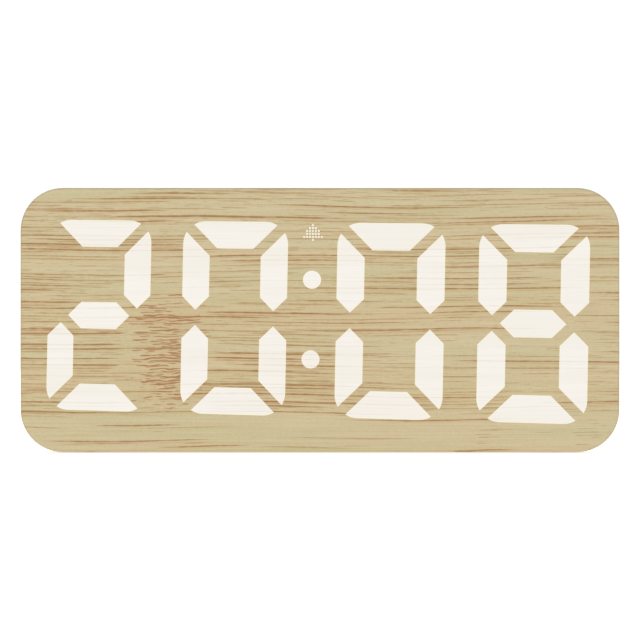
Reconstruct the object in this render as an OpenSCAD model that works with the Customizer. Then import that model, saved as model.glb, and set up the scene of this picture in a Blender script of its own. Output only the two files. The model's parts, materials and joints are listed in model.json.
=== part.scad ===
// Bamboo alarm clock.
// A bamboo plate hides a seven-segment display: each lit segment glows through a thin skin of the plate.
// Behind it are a case with a snooze bar on top, keys, a power inlet and a battery bay on the back.
// Lengths are in millimetres. X is right and Z is up, seen from the front, and Y goes to the back.
// The floor is Z = 0. Depths count from the front face backwards, u and v from the middle of the face.

/* [Display] */
// Hours on show
shown_hours = 20; // [0:1:23]
// Minutes on show
shown_minutes = 8; // [0:1:59]
// Width of a digit
digit_w = 30.2; // [26:0.1:34]
// Height of a digit
digit_h = 55.2; // [48:0.1:64]
// Width of a segment's stroke
stroke = 7.75; // [6:0.05:9]
// Gap between neighbouring segments, square to the cut
segment_gap = 3.05; // [2:0.05:4]
// Radius of a digit's outer corners
digit_corner_r = 6.5; // [3:0.1:9]
// Distance between the two digits of the hours, and of the minutes
digit_pitch = 39.5; // [37:0.1:46]
// Distance between the digits on the two sides of the colon
colon_pitch = 44.2; // [42:0.1:52]
// Diameter of a colon dot
colon_dot_d = 5.15; // [3:0.05:7]
// Distance between the colon dots
colon_spacing = 22.6; // [16:0.1:30]
// Growth of the display towards the right, for each millimetre
keystone = 0.00034; // [0:0.00001:0.0005]
// Sideways lean of the display, as a share of the height
lean = 0.0195; // [0:0.0005:0.04]
// Fall of the display towards the right, as a share of the width
fall = 0.0193; // [0:0.0001:0.025]
// Shift of the display to the left
display_shift = 2.48; // [0:0.01:3]
// Height of the display's middle above the face's middle
display_rise = 0.12; // [0:0.01:1]

/* [Alarm mark] */
// Distance between the dots of the alarm mark
mark_pitch = 0.835; // [0.7:0.005:1]
// Diameter of a dot of the alarm mark
mark_dot_d = 0.6; // [0.4:0.05:0.65]
// Height of the alarm mark above the display's middle
mark_rise = 24.7; // [20:0.1:27]

/* [Bamboo face] */
// Bare bamboo on the left and on the right of the digits
side_margin = 8.3; // [7.5:0.1:16]
// Bare bamboo above and below the digits
top_margin = 9.9; // [9:0.1:18]
// Radius of the face's corners
face_corner_r = 12; // [10:0.5:16]
// Thickness of the bamboo plate
face_t = 4; // [3:0.5:5]
// Thickness of the skin that the light passes
skin_t = 0.6; // [0.4:0.1:1]
// Radius of the plate's front edge
face_edge_r = 0.6; // [0.3:0.1:1]

/* [Case] */
// Depth of the whole clock
depth = 38; // [37:0.5:56]
// Step from the bamboo's edge in to the case
case_inset = 2; // [1.6:0.1:2.6]
// Thickness of the case's wall
wall = 2.4; // [2:0.1:2.8]
// Width of the ledge that carries the display
ledge_w = 2.8; // [2:0.1:3.2]
// Thickness of that ledge
ledge_t = 2; // [1.5:0.1:2.5]
// Thickness of the rear wall
back_t = 2.6; // [2.2:0.1:3.2]
// Depth of the rear cover
cover_depth = 8; // [7:0.5:8.5]
// Radius of the rear cover's edge
rear_r = 5; // [4:0.5:6]
// Length of the lip that holds the cover in the frame
lip = 2; // [1.5:0.1:2.5]
// Distance of a cover screw from the case's sides
screw_inset = 8.6; // [8:0.1:10]
// Gap under the bamboo's lower edge
floor_gap = 0.3; // [0.2:0.1:0.8]
// Diameter of a rubber foot
foot_d = 9; // [7:0.5:10]

/* [Light engine] */
// Thickness of the lens plate's base
lens_t = 1; // [0.8:0.1:1.4]
// Depth of the reflector block
reflector_t = 7; // [5:0.5:8]
// Thickness of the circuit boards
board_t = 1.6; // [1.2:0.1:2]

/* [Snooze bar] */
// Length of the snooze bar
snooze_w = 64; // [54:1:80]
// Width of the snooze bar, front to back
snooze_d = 9; // [7:0.5:9.5]
// Height of the snooze bar above the case
snooze_proud = 0.9; // [0.5:0.1:1.4]
// Travel of the snooze bar
snooze_travel = 1; // [0.5:0.1:1.2]

/* [Rear keys] */
// Diameter of a key
button_d = 8; // [6:0.5:9]
// Distance between keys
button_pitch = 12; // [11:0.5:13]
// Travel of a key
button_travel = 0.6; // [0.3:0.1:0.8]
// Travel of the alarm slider
slider_travel = 3; // [2:0.1:4]
// Depth of the dish that holds the keys
dish_depth = 1; // [0.8:0.1:1.2]
// Room between the control board and the rear wall
control_gap = 8; // [7.5:0.1:8.5]

/* [Battery bay] */
// Diameter of a cell
cell_d = 10.5; // [10:0.5:14.5]
// Length of a cell with its tip
cell_l = 44.5; // [44:0.5:50.5]
// Length of a pressed cell spring
cell_spring_l = 4; // [3.4:0.1:5]
// Thickness of the battery door
door_t = 2; // [1.6:0.1:2.4]
// Thickness of the bay's walls
bay_wall = 1.6; // [1.2:0.1:2]

/* [Fits] */
// Gap round a part that slides
slide_gap = 0.2; // [0.15:0.05:0.3]
// Gap round a part that is seated
seat_gap = 0.1; // [0.05:0.05:0.2]
// Gap round a pin that turns
run_gap = 0.05; // [0.02:0.01:0.08]
// Gap round a lens in its pocket
lens_gap = 0.15; // [0.1:0.05:0.25]

/* [Hidden] */
$fn = 64;

// Face and case outlines
display_w = 2 * digit_pitch + colon_pitch + digit_w;
face_w = display_w + 2 * side_margin;
face_h = digit_h + 2 * top_margin;
case_w = face_w - 2 * case_inset;
case_h = face_h - 2 * case_inset;
case_r = face_corner_r - case_inset;
front_y = -depth / 2;
middle_z = floor_gap + face_h / 2;
inside_top = case_h / 2 - wall;

// Depths from the front face backwards
reflector_d = face_t + lens_t;
display_d = reflector_d + reflector_t;
display_rear = display_d + board_t;
ledge_rear = display_d + ledge_t;
seam_d = depth - cover_depth;
lip_d = seam_d - lip;
inner_back = depth - back_t;
control_rear = inner_back - control_gap;
control_front = control_rear - board_t;

// Outline steps
half_wall = wall / 2;
seam_chamfer = 0.3;
board_gap = 0.4;

// Screws: M2.6 for the cover, M2 for the boards
cover_screw_r = 1.3;
cover_screw_l = 10;
cover_screw_wall = 3;
cover_head_r = 2.5;
cover_head_h = 1.8;
cover_head_gap = 0.3;
board_screw_r = 1;
board_head_r = 1.9;
board_head_h = 1.3;
screw_tip_room = 0.3;
screw_u = case_w / 2 - screw_inset;
screw_v = case_h / 2 - screw_inset;
corner_wall = 4;
corner_block = screw_inset + corner_wall;
display_screw_cover = 2.5;
display_screw_l = board_t + reflector_t - display_screw_cover;
control_screw_l = 6;

// How far a piece runs into the one that it is joined to, and how far a cut runs past a face
join = 0.5;
past = 1;

// Control board, from the battery bay to the corner of the case
control_side = 1;
control_drop = 25;
control_top = 24;
fix_edge = 4;
left_fix_v = 8;
control_post_r = 2.8;

// Snooze bar and its switch
snooze_r = snooze_d / 2 - slide_gap;
snooze_edge_r = 0.5;
snooze_ear = 1.2;
snooze_ear_t = 1.2;
snooze_under = inside_top - snooze_ear_t;
snooze_stem_r = 2;
switch_w = 6;
switch_h = 4;
switch_well = 2.6;
snooze_at = control_front - switch_w / 2;
plunger_r = 1.7;
plunger_in = 1.3;
plunger_out = 1.2;
snooze_plunger_out = 2;
snooze_spring_l = 5.5;
snooze_spring_in = 5;
snooze_spring_u = snooze_w / 2 - snooze_spring_in;
snooze_shelf_v = snooze_under - snooze_spring_l;
snooze_turns = 5;
snooze_coil_r = 2.2;
snooze_wire_r = 0.25;
shelf_t = 1.5;
shelf_reach = 3.2;
spring_peg_r = 1.2;
spring_peg_l = 1.5;

// Rear keys, from the right-hand side of the case
slider_side = 20;
slider_to_key = 15;
slider_u = case_w / 2 - slider_side;
button_row_v = 12;
button_u = [for (k = [0:3]) slider_u - slider_to_key - k * button_pitch];
button_proud = 0.9;
button_flange = 1;
button_edge = 0.4;
button_hollow = 0.25;
button_stem_r = 1.9;
tact_h = 3.5;
tact_well = 2.2;
plunger_top = control_rear + tact_h + plunger_out;
dish_end = 8;
dish_margin = 3.5;
dish_u = [button_u[3] - dish_end, slider_u + dish_end];
dish_h = button_d + 2 * dish_margin;
slider_w = 5;
slider_h = 3.2;
slider_cover = 0.75;
slider_plate_t = 0.8;
slider_plate_h = slider_h + 3;
slider_rest_u = slider_u + slider_travel / 2;
slider_stem_w = 2.4;
slider_stem_h = 1.8;
slider_stem_in = 1.6;
slider_switch_h = 4;
slider_switch_wall = 1.6;
slider_well = 2;
ridge_h = 0.5;

// Battery bay
cells = 3;
cell_gap = 0.4;
cell_tip_l = 0.9;
cell_tip_r = 1.9;
cell_edge = 0.4;
cell_turns = 3;
cell_coil_r = 3.2;
cell_coil_tip_r = 2.2;
cell_wire_r = 0.3;
contact_t = 0.5;
contact_w = 8;
bay_side = 16.5;
bay_drop = 2;
bay_len = cell_l + cell_spring_l + 2 * contact_t;
bay_h = cells * (cell_d + cell_gap) + cell_gap;
bay_u = [bay_side - case_w / 2, bay_side - case_w / 2 + bay_len];
bay_v = [-bay_drop - bay_h / 2, -bay_drop + bay_h / 2];
cell_axis_d = depth - door_t - cell_gap - cell_d / 2;
bay_floor = cell_axis_d - cell_d / 2 - cell_gap;
door_gap = 0.3;
door_lap = 3;
door_top_lap = 5;
door_r = 1.5;
door_u = [bay_u[0] - door_lap, bay_u[1] + door_lap];
door_v = [bay_v[0] - door_lap, bay_v[1] + door_top_lap];
door_mid_u = (door_u[0] + door_u[1]) / 2;
hinge_d = depth - door_t;
hinge_v = door_v[0] + door_t;
barrel_r = door_t - run_gap;
trough_r = barrel_r + door_gap;
hinge_pin_r = 1;
hinge_pin_l = 2;
rim_wall = 1.6;
rim_front = hinge_d - trough_r - rim_wall;
rim_side = hinge_pin_l + rim_wall;
latch_w = 12;
latch_t = 1.2;
latch_l = 3;
latch_in = 1.4;
latch_room = 0.6;
thumb_r = 6;
thumb_depth = 1.2;
grip_w = 14;
grip_h = 1;
grip_pitch = 2;
grip_depth = 0.5;
grip_in = 4;

// Control board outline and the places of its screws
control_u = [bay_u[1] + bay_wall + 2 * control_side, case_w / 2 - corner_block - control_side];
control_v = [-control_drop, control_top];
control_fixes = [
    [control_u[0] + fix_edge, control_v[0] + fix_edge],
    [control_u[1] - fix_edge, control_v[0] + fix_edge],
    [control_u[0] + fix_edge, left_fix_v],
    [control_u[1] - fix_edge, control_v[1] - fix_edge],
];

// Power inlet: the standard round-ended USB-C socket
inlet_to_slider = 17;
inlet_u = slider_u - inlet_to_slider;
inlet_v = -16;
inlet_w = 8.94;
inlet_h = 3.16;
inlet_wall = 0.3;
inlet_sink = 0.6;
inlet_rear = depth - inlet_sink;
inlet_dish = 2;
inlet_dish_depth = 0.8;
tongue_w = 6.7;
tongue_t = 0.7;
tongue_l = 5;
tongue_sink = 1.5;

// Buzzer and the holes in front of it
buzzer_u = button_u[2];
buzzer_v = -14;
buzzer_r = 6;
buzzer_h = 6.5;
buzzer_mouth_r = 1.2;
buzzer_floor = 2;
sound_hole_r = 0.8;
sound_pitch = 3;

// Link between the boards: a strip of pins on the control board and a socket that fills the rest
link_u = 30;
link_v = -4;
link_pins_n = 10;
link_pitch = 2.54;
link_t = 2.5;
link_base_t = 2.5;
link_pin_w = 0.64;
link_pin_in = 5;
link_pin_gap = 0.15;
link_w = link_pins_n * link_pitch + 4 * link_pin_gap;
socket_rear = control_front - link_base_t;

// Small parts on the boards: ranges across, up and in depth
light_w = 2;
light_h = 1.25;
light_t = 0.9;
mark_light_u = 2.2;
driver_u = [-36, -24];
driver_v = [-3.8, 3.8];
driver_t = 2.2;
chip_u = [2, 12];
chip_v = [-18, -8];
chip_t = 1.6;
crystal_u = 7;
crystal_w = 10;
crystal_h = 4;
crystal_t = 3.5;
capacitor_u = [52, 59];
capacitor_v = 6;
capacitor_r = 2.5;
capacitor_l = 7;

// Feet
foot_side = 17;
foot_front = 1.5;
foot_edge = 0.6;
foot_sink = 0.8;
foot_u = case_w / 2 - foot_side;
foot_depths = [face_t + foot_front + foot_d / 2, lip_d - foot_d / 2];

// Which segments each number lights: a is the top bar, then clockwise, and g is the middle bar
SEGMENTS = "abcdefg";
GLYPHS = ["abcdef", "bc", "abdeg", "abcdg", "bcfg", "acdfg", "acdefg", "abc", "abcdefg", "abcdfg"];
shown = [floor(shown_hours / 10), shown_hours % 10, floor(shown_minutes / 10), shown_minutes % 10];

// Dots of the alarm mark, row by row from the top: a bell with its clapper
ALARM_ROWS = [
    "   #   ",
    "  ###  ",
    " ##### ",
    " ##### ",
    "#######",
    "   #   ",
];
mark_columns = len(ALARM_ROWS[0]);
mark_rows = len(ALARM_ROWS);
mark_border = 0.5;

// Frames and basic shapes

// Turns a drawing on the face, x right and y up, upright. Its z runs forwards from the front face.
module upright() {
    translate([0, front_y, middle_z])
        rotate([90, 0, 0])
            children();
}

// A flat drawing made solid between two depths
module sheet(from, to) {
    upright()
        translate([0, 0, -to])
            linear_extrude(to - from)
                children();
}

// A box from its ranges across, up and in depth
module block(u, v, d) {
    translate([u[0], front_y + d[0], middle_z + v[0]])
        cube([u[1] - u[0], d[1] - d[0], v[1] - v[0]]);
}

// A round bar along the depth
module rod(u, v, d, r) {
    upright()
        translate([u, v, -d[1]])
            cylinder(r = r, h = d[1] - d[0]);
}

// A round bar across, from left to right
module cross_rod(u, v, d, r) {
    translate([u[0], front_y + d, middle_z + v])
        rotate([0, 90, 0])
            cylinder(r = r, h = u[1] - u[0]);
}

// A round bar upwards
module upright_rod(u, v, d, r) {
    translate([u, front_y + d, middle_z + v[0]])
        cylinder(r = r, h = v[1] - v[0]);
}

// A turned piece about an axis along the depth, from points of radius and depth
module turned(u, v, points) {
    upright()
        translate([u, v, 0])
            rotate_extrude()
                depth_profile(points);
}

// A profile whose second coordinate is a depth
module depth_profile(points) {
    polygon([for (p = points) [p.x, -p.y]]);
}

// Sweeps a profile round a rectangle with round corners. The profile's x counts from the corners'
// centre lines outwards, so the outer face is at x = r, and its y runs along z.
module ring(w, h, r) {
    for (side = [0:3]) {
        across = side % 2 == 0 ? w : h;
        up = side % 2 == 0 ? h : w;
        rotate(90 * side) {
            translate([across / 2 - r, up / 2 - r, 0])
                rotate_extrude(angle = 90)
                    children();
            translate([r - across / 2, up / 2 - r, 0])
                rotate([90, 0, 90])
                    linear_extrude(across - 2 * r)
                        children();
        }
    }
}

// A plate with round corners, standing on z = 0
module pad(w, h, r, t) {
    ring(w, h, r)
        square([r, t]);
    translate([r - w / 2, r - h / 2, 0])
        cube([w - 2 * r, h - 2 * r, t]);
}

// A plate with round corners between two depths, about the point u, v
module upright_pad(u, v, w, h, r, d) {
    upright()
        translate([u, v, -d[1]])
            pad(w, h, r, d[1] - d[0]);
}

// A screw along the depth with its head at the given depth. way is -1 for a tip towards the front.
module screw(u, v, seat, way, shank_r, shank_l, head_r, head_h) {
    difference() {
        turned(u, v, [
            [0, seat + way * shank_l],
            [shank_r * 0.6, seat + way * shank_l],
            [shank_r, seat + way * (shank_l - shank_r)],
            [shank_r, seat],
            [head_r, seat],
            [head_r, seat - way * head_h * 0.6],
            [head_r * 0.7, seat - way * head_h],
            [0, seat - way * head_h],
        ]);
        for (turn = [0, 90])
            upright()
                translate([u, v, -seat + way * head_h])
                    rotate(turn)
                        cube([head_r * 1.2, head_r * 0.28, head_h], center = true);
    }
}

// A wound spring along z from 0 to l. Its radius goes from r1 to r2.
RINGS_A_TURN = 8;
SIDES = 6;

function spring_centre(k, turns, l, r1, r2, wire_r) =
    let (
        share = k / (turns * RINGS_A_TURN),
        r = r1 + (r2 - r1) * share,
        a = 360 * k / RINGS_A_TURN
    )
    [r * cos(a), r * sin(a), wire_r + (l - 2 * wire_r) * share];

function spring_ring(k, turns, l, r1, r2, wire_r) =
    let (
        c = spring_centre(k, turns, l, r1, r2, wire_r),
        a = 360 * k / RINGS_A_TURN
    )
    [for (s = [0:SIDES - 1])
        let (b = 360 * s / SIDES)
        c + wire_r * [cos(b) * cos(a), cos(b) * sin(a), sin(b)]];

// Least gap between a turn of a spring and the next
function spring_gap(turns, l, r1, r2, wire_r) =
    min([for (k = [0:(turns - 1) * RINGS_A_TURN])
        norm(spring_centre(k + RINGS_A_TURN, turns, l, r1, r2, wire_r)
            - spring_centre(k, turns, l, r1, r2, wire_r))]) - 2 * wire_r;

module spring(turns, l, r1, r2, wire_r) {
    last = turns * RINGS_A_TURN;
    points = [for (k = [0:last]) each spring_ring(k, turns, l, r1, r2, wire_r)];
    skin = [for (k = [0:last - 1], s = [0:SIDES - 1])
        let (t = (s + 1) % SIDES)
        [k * SIDES + s, k * SIDES + t, (k + 1) * SIDES + t, (k + 1) * SIDES + s]];
    start = [for (s = [0:SIDES - 1]) SIDES - 1 - s];
    end = [for (s = [0:SIDES - 1]) last * SIDES + s];
    polyhedron(points = points, faces = concat([start], skin, [end]), convexity = 6);
}

// The display: every window, lens, well and light comes from these functions

// Middle of a digit, counted from the colon
function digit_x(i) = (i < 2 ? -1 : 1) * colon_pitch / 2 + [-1, 0, 0, 1][i] * digit_pitch;

// Where a point of the regular display lies on the face
function seen(p) =
    let (growth = 1 + keystone * p.x)
    [
        p.x * growth + lean * p.y - display_shift,
        p.y * growth - fall * p.x + display_rise,
    ];

function flipped(points, across, up) = [for (p = points) [across * p.x, up * p.y]];

function arc(centre, r, from, to, steps = 4) =
    [for (k = [0:steps])
        let (a = from + (to - from) * k / steps)
        centre + r * [cos(a), sin(a)]];

// Outline of segment s of a digit about the digit's middle. A margin above 0 draws it smaller.
function segment(s, margin) =
    let (
        w = digit_w / 2 - margin,
        h = digit_h / 2 - margin,
        t = stroke - 2 * margin,
        cut = (segment_gap + 2 * margin) / sqrt(2),
        r = digit_corner_r - margin,
        corner = [w - r, h - r],
        mitre = acos(-cut / (r * sqrt(2))) - 45,
        top_bar = concat(
            arc(corner, r, mitre, 90),
            arc([-corner.x, corner.y], r, 90, 180 - mitre),
            [[t + cut - w, h - t], [w - t - cut, h - t]]
        ),
        side_bar = concat(
            arc(corner, r, 0, 90 - mitre),
            [[w - t, h - t - cut], [w - t, t / 2 + cut], [w - t / 2, cut], [w, t / 2 + cut]]
        ),
        tip = w - t / 2 - cut,
        shoulder = w - t - cut,
        middle_bar = [
            [tip, 0], [shoulder, t / 2], [-shoulder, t / 2],
            [-tip, 0], [-shoulder, -t / 2], [shoulder, -t / 2],
        ],
        letter = SEGMENTS[s]
    )
    letter == "a" ? top_bar :
    letter == "b" ? side_bar :
    letter == "c" ? flipped(side_bar, 1, -1) :
    letter == "d" ? flipped(top_bar, 1, -1) :
    letter == "e" ? flipped(side_bar, -1, -1) :
    letter == "f" ? flipped(side_bar, -1, 1) :
    middle_bar;

// The two places of a segment's lights
function segment_lights(s) =
    let (
        across = digit_w * 0.16,
        up = digit_h * 0.08,
        side = digit_w / 2 - stroke / 2,
        half = digit_h / 4,
        top = digit_h / 2 - stroke / 2,
        letter = SEGMENTS[s]
    )
    letter == "a" ? [[-across, top], [across, top]] :
    letter == "d" ? [[-across, -top], [across, -top]] :
    letter == "g" ? [[-across, 0], [across, 0]] :
    let (
        x = letter == "b" || letter == "c" ? side : -side,
        y = letter == "b" || letter == "f" ? half : -half
    )
    [[x, y - up], [x, y + up]];

function is_lit(i, s) = search(SEGMENTS[s], GLYPHS[shown[i]]) != [];

// Middle of a colon dot, side 1 for the upper one
function colon_dot(side) = seen([0, side * colon_spacing / 2]);

function mark_middle() = seen([0, mark_rise]);

function mark_dot(row, column) =
    mark_middle() + mark_pitch * [column - (mark_columns - 1) / 2, (mark_rows - 1) / 2 - row];

module segment_outline(i, s, margin) {
    polygon([for (p = segment(s, margin)) seen(p + [digit_x(i), 0])]);
}

// Every opening of the display between two depths, with the alarm mark as one window
module display_shapes(from, to, margin) {
    for (i = [0:3], s = [0:6])
        sheet(from, to)
            segment_outline(i, s, margin);
    for (side = [-1, 1])
        rod(colon_dot(side).x, colon_dot(side).y, [from, to], colon_dot_d / 2 - margin);
    mark_window(from, to, margin);
}

module mark_window(from, to, margin) {
    w = mark_columns * mark_pitch + 2 * mark_border - 2 * margin;
    h = mark_rows * mark_pitch + 2 * mark_border - 2 * margin;
    m = mark_middle();
    block([m.x - w / 2, m.x + w / 2], [m.y - h / 2, m.y + h / 2], [from, to]);
}

// Solid dots of the alarm mark between two depths
module mark_dots(from, to) {
    for (row = [0:mark_rows - 1], column = [0:mark_columns - 1])
        if (ALARM_ROWS[row][column] == "#")
            rod(mark_dot(row, column).x, mark_dot(row, column).y, [from, to], mark_dot_d / 2);
}

// Bamboo face and its glowing skins

module face_plate() {
    rear_chamfer = face_edge_r / 2;
    profile = concat(
        [[0, face_t], [0, 0]],
        [for (a = [0:22.5:90])
            [case_inset + case_r - face_edge_r * (1 - sin(a)), face_edge_r * (1 - cos(a))]],
        [[face_corner_r, face_t - rear_chamfer], [face_corner_r - rear_chamfer, face_t]]
    );
    upright()
        ring(face_w, face_h, face_corner_r)
            depth_profile(profile);
    block(
        [face_corner_r - face_w / 2, face_w / 2 - face_corner_r],
        [face_corner_r - face_h / 2, face_h / 2 - face_corner_r],
        [0, face_t]
    );
}

module bamboo_face() {
    color("BurlyWood")
        difference() {
            face_plate();
            for (i = [0:3], s = [0:6])
                sheet(is_lit(i, s) ? -past : skin_t, face_t + past)
                    segment_outline(i, s, 0);
            for (side = [-1, 1])
                rod(colon_dot(side).x, colon_dot(side).y, [-past, face_t + past], colon_dot_d / 2);
            mark_window(skin_t, face_t + past, 0);
            mark_dots(-past, skin_t + past);
        }
}

module digit_segments(i) {
    color("Ivory")
        for (s = [0:6])
            if (is_lit(i, s))
                sheet(0, skin_t)
                    segment_outline(i, s, 0);
}

module colon_dots() {
    color("Ivory")
        for (side = [-1, 1])
            rod(colon_dot(side).x, colon_dot(side).y, [0, skin_t], colon_dot_d / 2);
}

module alarm_indicator() {
    color("Ivory")
        mark_dots(0, skin_t);
}

// Light engine behind the face

module engine_pad(gap, d) {
    step = wall + gap;
    upright_pad(0, 0, case_w - 2 * step, case_h - 2 * step, case_r - step, d);
}

// Places of the screws that hold the display board, between the digits
function display_screws_at() =
    [for (across = [-1, 1], up = [-1, 1])
        seen([across * (colon_pitch + digit_pitch) / 2, up * digit_h * 0.36])];

module lens_plate() {
    color("WhiteSmoke") {
        engine_pad(board_gap, [face_t, face_t + lens_t]);
        display_shapes(skin_t, face_t, lens_gap);
    }
}

module segment_reflector() {
    color("White")
        difference() {
            engine_pad(board_gap, [reflector_d, display_d]);
            display_shapes(reflector_d - past, display_d + past, 0);
            for (p = display_screws_at())
                rod(p.x, p.y, [display_rear - display_screw_l - screw_tip_room, display_d + past],
                    board_screw_r + run_gap);
        }
}

module display_board() {
    color("DarkGreen")
        difference() {
            engine_pad(ledge_w + board_gap, [display_d, display_rear]);
            for (p = display_screws_at())
                rod(p.x, p.y, [display_d - past, display_rear + past], board_screw_r + seat_gap);
        }
}

module light_chip(p) {
    block([p.x - light_w / 2, p.x + light_w / 2], [p.y - light_h / 2, p.y + light_h / 2],
        [display_d - light_t, display_d]);
}

module segment_leds() {
    color("LightYellow") {
        for (i = [0:3], s = [0:6], p = segment_lights(s))
            light_chip(seen(p + [digit_x(i), 0]));
        for (side = [-1, 1])
            light_chip(colon_dot(side));
        for (side = [-1, 1])
            light_chip(mark_middle() + [side * mark_light_u, 0]);
    }
}

module display_driver() {
    color("DimGray")
        block(driver_u, driver_v, [display_rear, display_rear + driver_t]);
}

module display_screws() {
    color("Silver")
        for (p = display_screws_at())
            screw(p.x, p.y, display_rear, -1, board_screw_r, display_screw_l, board_head_r, board_head_h);
}

// Case

// Solid corner of the case between two depths, out to a step inside the outer face
module corner_blocks(step, d) {
    intersection() {
        upright_pad(0, 0, case_w - 2 * step, case_h - 2 * step, case_r - step, d);
        for (across = [-1, 1], up = [-1, 1]) {
            u = across * (case_w / 2 - corner_block / 2);
            v = up * (case_h / 2 - corner_block / 2);
            half = corner_block / 2;
            block([u - half, u + half], [v - half, v + half], d);
        }
    }
}

module at_corners() {
    for (across = [-1, 1], up = [-1, 1])
        translate([across * screw_u, 0, up * screw_v])
            children();
}

module frame_ring() {
    inner = case_r - wall;
    upright()
        ring(case_w, case_h, case_r)
            depth_profile([
                [case_r, face_t],
                [case_r, seam_d - seam_chamfer],
                [case_r - seam_chamfer, seam_d],
                [case_r - half_wall, seam_d],
                [case_r - half_wall, lip_d],
                [inner, lip_d],
                [inner, ledge_rear],
                [inner - ledge_w, ledge_rear],
                [inner - ledge_w, display_d],
                [inner, display_d],
                [inner, face_t],
            ]);
}

// Bracket that hangs beside the right end of the snooze bar, with a shelf that a spring stands on
module spring_bracket() {
    web = snooze_w / 2 + snooze_ear + door_gap;
    shelf_v = [snooze_shelf_v - shelf_t, snooze_shelf_v];
    reach = [snooze_at - shelf_reach, snooze_at + shelf_reach];
    block([web, web + shelf_t], [shelf_v[0], inside_top + half_wall], reach);
    block([snooze_spring_u - shelf_reach, web + shelf_t], shelf_v, reach);
    upright_rod(snooze_spring_u, [shelf_v[1] - join, shelf_v[1] + spring_peg_l], snooze_at, spring_peg_r);
}

module snooze_slot() {
    gap = slide_gap;
    translate([0, front_y + snooze_at, middle_z + inside_top - past])
        pad(snooze_w + 2 * gap, snooze_d + 2 * gap, snooze_r + gap, wall + 2 * past);
}

module front_frame() {
    color("Tan")
        difference() {
            union() {
                frame_ring();
                corner_blocks(half_wall, [display_rear + board_gap, lip_d]);
                for (side = [0, 1])
                    mirror([side, 0, 0])
                        spring_bracket();
            }
            at_corners()
                rod(0, 0, [lip_d + cover_screw_wall - cover_screw_l - screw_tip_room, lip_d + past],
                    cover_screw_r + run_gap);
            snooze_slot();
            for (side = [-1, 1], d = foot_depths)
                upright_rod(side * foot_u, [-case_h / 2 - past, foot_sink - case_h / 2], d,
                    foot_d / 2 + seat_gap);
        }
}

module cover_shell() {
    inner = case_r - wall;
    inner_r = rear_r - wall;
    outer_arc = [for (a = [0:11.25:90])
        [case_r - rear_r * (1 - cos(a)), depth - rear_r * (1 - sin(a))]];
    inner_arc = [for (a = [90:-15:0])
        [inner - inner_r * (1 - cos(a)), inner_back - inner_r * (1 - sin(a))]];
    upright()
        ring(case_w, case_h, case_r)
            depth_profile(concat(
                [
                    [inner, lip_d],
                    [case_r - half_wall - seat_gap, lip_d],
                    [case_r - half_wall - seat_gap, seam_d],
                    [case_r - seam_chamfer, seam_d],
                    [case_r, seam_d + seam_chamfer],
                ],
                outer_arc,
                [[0, depth], [0, inner_back]],
                inner_arc
            ));
    block([case_r - case_w / 2, case_w / 2 - case_r], [case_r - case_h / 2, case_h / 2 - case_r],
        [inner_back, depth]);
}

module bay_walls() {
    block([bay_u[0] - bay_wall, bay_u[1] + bay_wall], [bay_v[0] - bay_wall, bay_v[1] + bay_wall],
        [bay_floor - bay_wall, inner_back + join]);
    block([door_u[0] - rim_side, door_u[1] + rim_side], [door_v[0] - rim_wall, door_v[1] + rim_wall],
        [rim_front, inner_back + join]);
}

// Outline of the battery door between two depths, grown by a gap, from a lower edge up. Its upper
// corners are round.
module door_outline(gap, low, d) {
    r = door_r + gap;
    u = [door_u[0] - gap, door_u[1] + gap];
    top = door_v[1] + gap;
    block(u, [low, top - r], d);
    block([u[0] + r, u[1] - r], [top - r, top], d);
    for (side = [0, 1])
        upright()
            translate([side == 0 ? u[0] + r : u[1] - r, top - r, -d[1]])
                rotate(side == 0 ? 90 : 0)
                    rotate_extrude(angle = 90)
                        square([r, d[1] - d[0]]);
}

// Everything cut out of the cover for the cells and the door
module bay_cuts() {
    gap = door_gap;
    slot_u = latch_w / 2 + latch_room;
    latch_v = [door_v[1] - latch_in - latch_t - latch_room, door_v[1] - latch_in + latch_room];
    block(bay_u, bay_v, [bay_floor, depth + past]);
    door_outline(gap, door_v[0] - gap, [hinge_d, depth + past]);
    cross_rod([door_u[0] - gap, door_u[1] + gap], hinge_v, hinge_d, trough_r);
    cross_rod([door_u[0] - hinge_pin_l - gap, door_u[1] + hinge_pin_l + gap], hinge_v, hinge_d,
        hinge_pin_r + run_gap);
    block([door_mid_u - slot_u, door_mid_u + slot_u], latch_v, [rim_front - past, hinge_d + past]);
    rod(door_mid_u, door_v[1], [depth - thumb_depth, depth + past], thumb_r);
}

module key_cuts() {
    dish_mid = (dish_u[0] + dish_u[1]) / 2;
    through = [inner_back - past, depth + past];
    slot = slider_w + slider_travel + 2 * slide_gap;
    slot_v = slider_h / 2 + slide_gap;
    upright_pad(dish_mid, button_row_v, dish_u[1] - dish_u[0], dish_h, dish_h / 2 - slide_gap,
        [depth - dish_depth, depth + past]);
    for (u = button_u)
        rod(u, button_row_v, through, button_d / 2 + slide_gap);
    block([slider_u - slot / 2, slider_u + slot / 2],
        [button_row_v - slot_v, button_row_v + slot_v], through);
}

module inlet_cuts() {
    hole_h = inlet_h + 2 * slide_gap;
    dish = inlet_h + 2 * inlet_dish;
    upright_pad(inlet_u, inlet_v, inlet_w + 2 * slide_gap, hole_h, hole_h / 2 - run_gap,
        [inner_back - past, depth + past]);
    upright_pad(inlet_u, inlet_v, inlet_w + 2 * inlet_dish, dish, dish / 2 - slide_gap,
        [depth - inlet_dish_depth, depth + past]);
}

// One hole in the middle and two circles of holes round it
module sound_holes() {
    for (circle = [0:2], k = [0:max(6 * circle - 1, 0)]) {
        a = 60 * k / max(circle, 1);
        rod(buzzer_u + sound_pitch * circle * cos(a), buzzer_v + sound_pitch * circle * sin(a),
            [inner_back - past, depth + past], sound_hole_r);
    }
}

module control_posts(r, d) {
    for (p = control_fixes)
        rod(p.x, p.y, d, r);
}

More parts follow.
